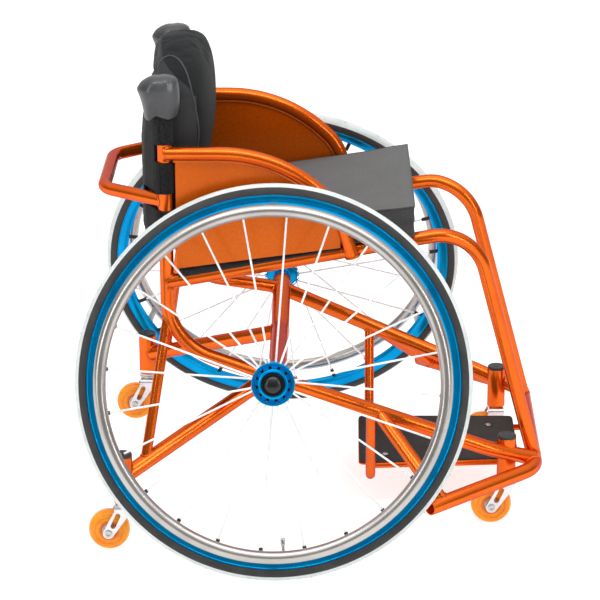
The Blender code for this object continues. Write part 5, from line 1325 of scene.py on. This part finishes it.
# Seat cushion: firm foam in a sewn cover, mid-grey cloth on its top and a charcoal mesh band round
# its sides, which has a seam at half its height. It lies on the sling with square, crisp edges.
CUSHION_REAR, CUSHION_FRONT = -0.157, 0.2225
CUSHION_THICK, CUSHION_PUFF = 0.050, 0.0066
CUSHION_SEAT = 0.0145
CUSHION_FLARE = 0.008


def block_mesh(name, counts, hugs, place):
    """A closed box of small faces whose points come from place(u, v, w), each from -1 to 1.

    A tight extra row beside each end keeps the edges square; hugs says how tight.
    """
    steps = [[-1.0, -1.0 + hug, *(-1 + 2 * step / count for step in range(1, count)), 1.0 - hug, 1.0]
             for count, hug in zip(counts, hugs)]
    last = [len(line) - 1 for line in steps]
    body = bmesh.new()
    made = {}

    def corner(key):
        if key not in made:
            made[key] = body.verts.new(place(*(line[index] for line, index in zip(steps, key))))
        return made[key]

    for axis in range(3):
        first, second = [other for other in range(3) if other != axis]
        for end in (0, last[axis]):
            for i in range(last[first]):
                for j in range(last[second]):
                    corners = []
                    for step_i, step_j in ((0, 0), (1, 0), (1, 1), (0, 1)):
                        key = [0, 0, 0]
                        key[axis], key[first], key[second] = end, i + step_i, j + step_j
                        corners.append(corner(tuple(key)))
                    body.faces.new(corners)
    return as_mesh(name, body)


def make_finer(piece):
    """One round of subdivision, so that a soft piece has no corners."""
    finer = piece.modifiers.new("finer", "SUBSURF")
    finer.levels = finer.render_levels = 1


def stuffed(name, mesh, lift, settle, held=None, net=0.0):
    """Fills a sewn cover: it is blown up as a bag by the cloth solver and may move by lift at most.

    settle moves the points that would press into a neighbour, held picks the points that seams
    keep still, and net is a voxel size where the shape needs new faces.
    """
    bag = bpy.data.objects.new(name, mesh)
    if net:
        mending = bag.modifiers.new("net", "REMESH")
        mending.mode = "VOXEL"
        mending.voxel_size = net
        bag = bpy.data.objects.new(name, plain_mesh(name, bag))
    start = [vert.co.copy() for vert in bag.data.vertices]
    moved = start
    bpy.context.scene.collection.objects.link(bag)
    pinned = [index for index, spot in enumerate(start) if held and held(spot)]
    bag.vertex_groups.new(name="seams").add(pinned, 1.0, "REPLACE")
    cloth = bag.modifiers.new("cloth", "CLOTH")
    cloth.settings.quality = 5
    cloth.settings.use_pressure = True
    cloth.settings.uniform_pressure_force = 4.0
    cloth.settings.effector_weights.gravity = 0.0
    if pinned:
        cloth.settings.vertex_group_mass = "seams"
    cloth.point_cache.frame_start = 1
    cloth.point_cache.frame_end = 20
    for number in range(1, 21):
        bpy.context.scene.frame_set(number)
    swollen = bag.evaluated_get(bpy.context.evaluated_depsgraph_get())
    moved = []
    for before, vert in zip(start, swollen.to_mesh().vertices):
        step = vert.co - before
        moved.append(before + step * min(1.0, lift / max(step.length, 1e-9)))
    swollen.to_mesh_clear()
    bag.modifiers.remove(cloth)
    bpy.context.scene.collection.objects.unlink(bag)
    bpy.context.scene.frame_set(1)
    for vert, spot in zip(bag.data.vertices, moved):
        vert.co = settle(spot)
    make_finer(bag)
    return plain_mesh(name, bag)


def flare(x):
    """0 where the cushion lies between the guards, and 1 where it has widened in front of them."""
    return min(1.0, 2 * max(0.0, (x - 0.149) / 0.0955))


def cushion_point(u, v, w):
    """The cover's own shape: a block that widens in front of the guards and draws in a little."""
    x = straight(u, (-1, CUSHION_REAR), (1, CUSHION_FRONT))
    half = 0.1750 + CUSHION_FLARE * flare(x) - 0.0015 * (1 - u * u)
    crown = 0.0025 * (1 - u * u) * (1 - v * v) if w > 0 else 0
    waist = 0.0012 * (1 - w * w)
    x += 0.0045 * max(0.0, u) * (1 - v) / 2 - waist * u
    thick = CUSHION_THICK + CUSHION_PUFF * (1 - u) / 2
    return at(x, v * (half - waist), rail_height(x) + CUSHION_SEAT + thick * (w + 1) / 2 + crown)


def on_cushion_edge(spot):
    x, y = spot.x - AXLE_X, abs(spot.y)
    low = spot.z - rail_height(x) - CUSHION_SEAT
    at_side = y > 0.1715 + CUSHION_FLARE * flare(x)
    at_end = x < CUSHION_REAR + 0.003 or x > CUSHION_FRONT - 0.003
    at_face = low < 0.002 or low > CUSHION_THICK - 0.002
    return low < 0.0005 or (at_face and (at_side or at_end)) or (at_side and at_end)


def keep_on_sling(spot):
    return Vector((spot.x, spot.y, max(spot.z, rail_height(spot.x - AXLE_X) + CUSHION_SEAT)))


def cushion_rim(height, out):
    """A closed line round the cushion's side at a share of its height."""
    corners = ((-1, -1), (1, -1), (1, 1), (-1, 1))
    line = []
    for start, end in zip(corners, corners[1:] + corners[:1]):
        for step in range(40):
            u, v = (first + (last - first) * step / 40 for first, last in zip(start, end))
            away = Vector((u ** 15, v ** 15, 0))
            line.append(cushion_point(u, v, height) + away.normalized() * out)
    return line


CUSHION_TOP = woven("cushion_top_cloth", (0.158, 0.156, 0.154), (0.098, 0.097, 0.096), 520, 0.80,
                    0.10)
CORD_CLOTH = woven("piping_charcoal", (0.095, 0.097, 0.100), (0.050, 0.051, 0.053), 1100)
side_net = Finish("cushion_side_mesh", sheen_weight=0.08, sheen_roughness=0.5)
holes = side_net.cells(620.0)
shade = side_net.noise(30.0, 3.0)
CUSHION_SIDE = side_net.feed(base_color=side_net.mix(holes.smooth(0.1, 0.6) * 0.7 + shade * 0.3,
                                                     (0.020, 0.020, 0.020), (0.052, 0.051, 0.050)),
                             roughness=0.75 + shade * 0.15, normal=side_net.bump(holes, 0.0005))
cover = block_mesh("seat_cushion_cover", (52, 50, 8), (0.012, 0.012, 0.08), cushion_point)
cushion = show("seat_cushion_cover", stuffed("seat_cushion_cover", cover, 0.0035, keep_on_sling,
                                             on_cushion_edge), CUSHION_TOP, crease=50)
cushion.data.materials.append(CUSHION_SIDE)
for face in cushion.data.polygons:
    if abs(face.normal.z) < 0.72:
        face.material_index = 1
fit(cushion, "frame", "seat_fabric", "seat_cushion")
cord_maker = rippled("sewn_cord", 0.0012, 0.004, -0.10, 4, 8, True)
fit(cord_maker.grow("seat_cushion_welts", [cushion_rim(height, 0.0002) for height in (0.99, -0.99)],
                    CORD_CLOTH, closed=True, Radius=0.0009), "frame", "seat_fabric")
fit(stitch_maker.grow("seat_cushion_stitches",
                      [cushion_rim(height, 0.0015) for height in (0.06, -0.06)], THREAD,
                      closed=True, Length=0.0026, Radius=0.00035), "frame", "seat_fabric")


# Back upholstery: one dark sheet slung behind the pad from post to post, with an opening at each
# side for the push bar, and held by fuzzy loop-faced bands that are wrapped round the posts.
FABRIC_FOOT, FABRIC_TOP = 0.505, 0.762
FABRIC_HALF = 0.1742
FABRIC_CLOTH = 0.0025
FABRIC_DRAWN = -0.1925
FABRIC_GATHER = ((FABRIC_FOOT, 0.0), (GUARD_TOP, 0.0), (0.716, 0.25), (0.739, 0.80),
                 (FABRIC_TOP, 1.0))
BELLY_HALF = 0.140
SLOT_Y, SLOT_LOW, SLOT_HIGH = 0.130, 0.5565, 0.5865
SHOULDER_Y, SHOULDER_Z = 0.146, 0.7105
BANDS = ((0.507, SLOT_LOW), (SLOT_HIGH, 0.6383), (0.6688, 0.7185))
BAND_RADIUS, BAND_CLOTH = 0.0137, 0.0024


def look_up(table, value):
    """Reads a table of (value, result) pairs, and in between them."""
    return float(np.interp(value, *zip(*table)))


def fabric_x(y, z):
    """How far back the sheet lies: bellied in the middle, drawn in at its top."""
    if abs(y) > BELLY_HALF:
        back = straight(abs(y), (BELLY_HALF, -0.2120), (FABRIC_HALF, -0.19275))
    else:
        back = -0.2235 + 0.0115 * (y / BELLY_HALF) ** 2
    return back + (FABRIC_DRAWN - back) * look_up(FABRIC_GATHER, z)


def in_sheet(spot):
    """The sheet's outline, without the push bar's slots and the corners beside the caps."""
    if abs(spot.y) > SLOT_Y and SLOT_LOW < spot.z < SLOT_HIGH:
        return False
    return not (abs(spot.y) > SHOULDER_Y and spot.z > SHOULDER_Z)


sheet_heights = sorted([straight(step, (0, FABRIC_FOOT), (44, FABRIC_TOP)) for step in range(45)]
                       + [SLOT_LOW, SLOT_HIGH, SHOULDER_Z])
sheet_places = sorted([FABRIC_HALF * (2 * step / 48 - 1) for step in range(49)]
                      + [-SHOULDER_Y, -SLOT_Y, SLOT_Y, SHOULDER_Y])
back_rows = []
for z in sheet_heights:
    back_rows.append([at(fabric_x(y, z) - 0.0009 * sin(y * 140 + z * 60) * sin(z * 95)
                         * (1 - (y / 0.175) ** 2), y, z) for y in sheet_places])
back_mesh, back_area = sheet_mesh("back_sheet", back_rows, in_sheet)
BACK_CLOTH = woven("back_cloth_charcoal", (0.019, 0.0195, 0.0205), (0.007, 0.007, 0.0075), 480,
                   sheen=0.08)
back_sheet = show("back_sheet", back_mesh, BACK_CLOTH)
give_cloth(back_sheet, FABRIC_CLOTH)
fit(back_sheet, "frame", "back_fabric", "back_upholstery")

fuzz = Finish("loop_band_black", sheen_weight=0.04, sheen_roughness=0.6, ior=1.2)
loops = fuzz.cells(900.0)
tufts = fuzz.noise(420.0, 4.0, 0.7)
BAND_FUZZ = fuzz.feed(base_color=fuzz.mix(tufts.smooth(0.4, 0.75) * 0.7 + loops * 0.3,
                                          (0.003, 0.003, 0.003), (0.032, 0.032, 0.033)),
                      roughness=0.85 + tufts * 0.1, normal=fuzz.bump(tufts + loops * 0.5, 0.0012))
back_pieces = []
for side, sign in SIDES.items():
    for number, (low, high) in enumerate(BANDS):
        rows = []
        for step in range(13):
            middle = on_post(side, straight(step, (0, low), (12, high)))
            row = []
            for turn in range(61):
                angle = radians(200 + 405 * turn / 60)
                lap = 0.0016 * max(0.0, min(1.0, (turn - 48) / 6))
                puff = 0.00025 * sin(turn * 1.3 + step * 0.8) * sin(step * 1.1)
                row.append(middle + Vector((cos(angle), -sign * sin(angle), 0))
                           * (BAND_RADIUS + lap + puff))
            rows.append(row)
        band = show(f"{side}_wrap_band_{number}", sheet_mesh("wrap_band", rows)[0], BAND_FUZZ,
                    crease=60)
        give_cloth(band, BAND_CLOTH)
        back_pieces.append(band)
hem_rows = [[place + Vector((-0.0015, 0, 0)) for place in back_rows[row] if in_sheet(place)]
            for row in (1, 2, -3, -2)]
back_pieces.append(stitch_maker.grow("back_sheet_stitches", hem_rows, THREAD, Radius=0.0005))
for piece in back_pieces:
    fit(piece, "frame", "back_fabric")


# Back pad: thick soft foam in a dark stretch cover, fullest at mid height and rolled over at its
# top. A piped seam runs up each side, with a strip of open mesh behind it.
PAD_FOOT, PAD_DEEPEST, PAD_TOP = 0.520, 0.690, 0.797
PAD_FACE = -0.1035
PAD_HALF = 0.163
PAD_HALVES = ((PAD_FOOT, PAD_HALF), (PAD_DEEPEST, PAD_HALF), (0.725, 0.162), (0.752, 0.157),
              (0.768, 0.148), (0.778, 0.136), (0.786, 0.118), (0.792, 0.096), (PAD_TOP, 0.068),
              (0.801, 0.035))
PAD_INSET, PAD_ROLL, PAD_TUCK, PAD_CHEEK = 0.0035, 0.050, 0.023, 0.014
CAP_Y = 0.176
CAP_ROOM_FOOT = 0.7115
POST_ROOM, CAP_ROOM = (0.0176, 0.0176), (0.0365, 0.0275)


def pad_front(z):
    """The pad's face: full at its middle, drawn in at its foot and rolled back at its top."""
    if z > PAD_DEEPEST:
        climb = min(1.0, (z - PAD_DEEPEST) / (PAD_TOP + 0.008 - PAD_DEEPEST))
        return PAD_FACE - PAD_ROLL * (1 - (1 - climb ** 2.6) ** (1 / 2.6))
    drop = (PAD_DEEPEST - z) / (PAD_DEEPEST - PAD_FOOT)
    return PAD_FACE - PAD_TUCK * (1 - cos(pi * drop)) / 2


def blunt(value, power):
    """A sine or cosine that keeps its sign, with its curve made squarer."""
    return copysign(abs(value) ** power, value)


def pad_ring(z, shrink):
    """One level outline of the pad, set in to leave room for the filling.

    Over the sheet's top edge the cover is folded back behind it.
    """
    half = look_up(PAD_HALVES, z) - PAD_INSET
    fold = 0.008 * min(1.0, max(0.0, (z - FABRIC_TOP - 0.001) / 0.003))
    ring = []
    for index in range(72):
        angle = 2 * pi * index / 72
        y = half * shrink * blunt(cos(angle), 0.45)
        front = pad_front(z) - PAD_CHEEK * min(1.0, abs(y) / PAD_HALF) ** 2 - PAD_INSET
        back = (fabric_x(y, min(z, FABRIC_TOP)) + FABRIC_CLOTH / 2 + 0.0006 - fold
                + PAD_INSET * 0.4)
        swing = (front - back) / 2 * shrink * blunt(sin(angle), 0.6)
        ring.append(at((front + back) / 2 + swing, y, z))
    return ring


def loft_mesh(name, rings, poles=False):
    """A closed skin through rings of equally many points, with a flat cap or a pole at its ends."""
    body = bmesh.new()
    rows = [[body.verts.new(place) for place in ring] for ring in rings]
    for low, high in zip(rows, rows[1:]):
        for corners in zip(low, low[1:] + low[:1], high[1:] + high[:1], high):
            body.faces.new(corners)
    for end in (rows[0], rows[-1]):
        if not poles:
            body.faces.new(end)
            continue
        pole = body.verts.new(sum((vert.co for vert in end), Vector()) / len(end))
        for first, second in zip(end, end[1:] + end[:1]):
            body.faces.new((first, second, pole))
    return as_mesh(name, body)


def clear_of_posts(spot):
    """Keeps the filled pad off the wrapped posts, the caps and the sheet behind it."""
    x, y, z = spot
    side = "left" if y > 0 else "right"
    if z < CAP_ROOM_FOOT:
        middle, (deep, wide) = on_post(side, z), POST_ROOM
    else:
        middle, (deep, wide) = beside(side, -0.183, CAP_Y, z), CAP_ROOM
    away = Vector(((x - middle.x) / deep, (y - middle.y) / wide))
    if away.length < 1:
        away.normalize()
        x, y = middle.x + away.x * deep, middle.y + away.y * wide
    if z < FABRIC_TOP:
        x = max(x, AXLE_X + fabric_x(y, z) + 0.0022)
    return Vector((x, y, z))


pad_rings = []
for step in range(41):
    z = PAD_FOOT + 0.002 + (PAD_TOP - PAD_FOOT + 0.0020) * step / 40
    foot_round = sqrt(1 - (1 - min(1.0, (z - PAD_FOOT) / 0.012)) ** 2)
    pad_rings.append(pad_ring(z, 0.90 + 0.10 * foot_round))
stretch = Finish("pad_stretch_cloth", sheen_weight=0.05, sheen_roughness=0.4, ior=1.2)
forward, aside, up = stretch.axes()
outward = abs(aside)
STRIP_REAR, STRIP_FRONT, STRIP_TOP, STRIP_OUT = AXLE_X - 0.157, AXLE_X - 0.127, 0.736, 0.118
strip = (forward.smooth(STRIP_REAR, STRIP_REAR + 0.001)
         * (1 - forward.smooth(STRIP_FRONT, STRIP_FRONT + 0.001))
         * (1 - up.smooth(STRIP_TOP, STRIP_TOP + 0.002))
         * outward.smooth(STRIP_OUT, STRIP_OUT + 0.001))
ribs = (up * (1150 * pi)).sine() * (outward * (900 * pi)).sine()
openings = ((up * 1500).sine() * (forward * 1500).sine()).smooth(0.15, 0.75)
fibre = stretch.noise(2300.0)
shade = stretch.noise(22.0, 4.0)
tone = 0.5 + (fibre - 0.5) * 0.6 + (shade - 0.5) * 0.6 + ribs * 0.1
front_cloth_and_shade = stretch.mix(tone, (0.007, 0.0074, 0.008), (0.019, 0.0202, 0.0215))
side_cloth_and_light = stretch.mix(tone, (0.020, 0.0215, 0.023), (0.052, 0.056, 0.060))
open_mesh = stretch.mix(openings, (0.050, 0.052, 0.054), (0.004, 0.004, 0.004))
# The darker front panel ends where the piping runs: back over the shoulder, then almost straight
# down the pad's side. The two tones are one cloth: partly a second fabric on the sides, partly
# painted light on the sides and shoulder and painted shade on the front.
panel_edge = AXLE_X - 0.132 - up.smooth(0.740, 0.800) * 0.052 - (up - 0.750) * 0.09
closed_cloth_and_light = stretch.mix((panel_edge - forward).smooth(0.0, 0.002), front_cloth_and_shade, side_cloth_and_light)
PAD_CLOTH = stretch.feed(base_color=stretch.mix(strip, closed_cloth_and_light, open_mesh),
                         roughness=0.62 + fibre * 0.18,
                         normal=stretch.bump(ribs * 0.3 + fibre * 0.7 - strip * openings * 3,
                                             0.0003))
pad_mesh = stuffed("back_pad_cover", loft_mesh("back_pad_cover", pad_rings), 0.0045,
                   clear_of_posts, net=0.005)
pad = show("back_pad_cover", pad_mesh, PAD_CLOTH, crease=180)
fit(pad, "frame", "back_fabric", "back_pad")

# The piping starts behind the pad's shoulder, runs over it, and drops down the side.
PAD_SEAM = ((-0.192, 0.108, 0.772), (-0.184, 0.094, 0.786), (-0.171, 0.088, 0.790),
            (-0.157, 0.101, 0.788), (-0.145, 0.124, 0.778), (-0.135, 0.143, 0.750),
            (-0.128, 0.143, 0.722), (-0.125, 0.139, 0.690), (-0.125, 0.136, 0.650),
            (-0.130, 0.136, 0.600), (-0.138, 0.136, 0.540))
pad_tree = BVHTree.FromObject(pad, bpy.context.evaluated_depsgraph_get())
seam_paths = []
for side in SIDES:
    knots = [beside(side, *knot) for knot in PAD_SEAM]
    knots = [knots[0] * 2 - knots[1], *knots, knots[-1] * 2 - knots[-2]]
    path = []
    for before, start, end, after in zip(knots, knots[1:], knots[2:], knots[3:]):
        for step in range(8):
            share = step / 8
            spot = (start * 2 + (end - before) * share
                    + (before * 2 - start * 5 + end * 4 - after) * share ** 2
                    + (start * 3 - before - end * 3 + after) * share ** 3) / 2
            skin, away, _, _ = pad_tree.find_nearest(spot)
            path.append(skin + away * 0.0002)
    seam_paths.append(path)
PIPING = woven("pad_piping", (0.090, 0.094, 0.098), (0.050, 0.053, 0.056), 1100, 0.6, 0.1)
fit(cord_maker.grow("back_pad_piping", seam_paths, PIPING, Radius=0.0015), "frame", "back_fabric")


# Post caps: padded leather hoods pulled down over the tops of the posts. Each is sewn from panels
# that meet in soft creases, is pinched to a point behind, and its hem dips and rises.
leather = Finish("post_cap_leather", coat_weight=0.45, coat_roughness=0.16, ior=1.35)
pebble = leather.cells(900.0, "SMOOTH_F1", Smoothness=0.6)
bloom = leather.noise(24.0, 4.0)
CAP_LEATHER = leather.feed(base_color=leather.mix(bloom.smooth(0.3, 0.75), (0.032, 0.033, 0.035),
                                                  (0.060, 0.061, 0.064)),
                           roughness=0.34 + pebble * 0.10 + bloom * 0.10,
                           normal=leather.bump(pebble, 0.0001))
CAP_FOOT, CAP_TOP = 0.7125, 0.7800
CAP_LEVELS = (0.0, 0.10, 0.27, 0.50, 0.69, 0.85, 0.93, 0.98, 1.0)
CAP_REAR = (-0.2080, -0.2092, -0.2110, -0.2155, -0.2205, -0.2135, -0.2060, -0.1990, -0.1950)
CAP_FRONT = (-0.1560, -0.1535, -0.1512, -0.1505, -0.1512, -0.1530, -0.1552, -0.1595, -0.1640)
CAP_WIDE = (0.0215, 0.0225, 0.0245, 0.0255, 0.0255, 0.0235, 0.0205, 0.0165, 0.0135)
CAP_HEM = ((-0.2160, 0.0015), (-0.2011, -0.0042), (-0.1885, 0.0060), (-0.1680, -0.0010),
           (-0.1540, 0.0035))


def bell(value, middle, width):
    """1 at the middle, and falling off to both sides."""
    return exp(-((value - middle) / width) ** 2)


def cap_ring(side, share, inset=0.0, lid=1.0):
    """One line of the hood. The rear is pinched, and a crease runs up the outer and inner sides.

    lid draws the line in towards the middle of the flat top, which sags along the crease.
    """
    rear, front, wide = (look_up(zip(CAP_LEVELS, line), share)
                         for line in (CAP_REAR, CAP_FRONT, CAP_WIDE))
    middle, half = (rear + front) / 2, (front - rear) / 2 - inset
    ring = []
    for index in range(96):
        angle = 2 * pi * index / 96
        along = cos(angle)
        crease = 0.45 * bell(along, -0.06, 0.20)
        pinch = 1 - 0.42 * max(0.0, -along) ** 5
        pinch *= (1 - (0.10 + 0.02 * share ** 3) * crease
                  - 0.05 * bell(along, 0.62, 0.16) * share)
        x = middle + half * along * lid
        y = CAP_Y + (wide - inset) * blunt(sin(angle), 0.85) * pinch * lid
        hem = look_up(CAP_HEM, x) * (1 - share) ** 2
        sag = 0.0014 * bell(x, -0.1850, 0.0060) * share ** 6
        puff = 0.0016 * (1 - lid ** 2)
        ring.append(beside(side, x, y, CAP_FOOT + (CAP_TOP - CAP_FOOT) * share + hem - sag + puff))
    return ring


for side in SIDES:
    rings = [cap_ring(side, share, 0.0022) for share in (0.6, 0.4, 0.2, 0.05, 0.0)]
    rings += [cap_ring(side, share) for share in (0, 0.03, 0.07, 0.12, 0.2, 0.3, 0.4, 0.5, 0.6, 0.68,
                                                  0.75, 0.81, 0.86, 0.90, 0.94, 0.97, 1.0)]
    rings += [cap_ring(side, 1.0, lid=lid) for lid in (0.82, 0.62, 0.42, 0.22)]
    hood = show(f"{side}_post_cap_hood", loft_mesh("post_cap_hood", rings, poles=True),
                CAP_LEATHER, crease=180)
    make_finer(hood)
    fit(hood, "frame", "cap_leather", f"{side}_post_cap")
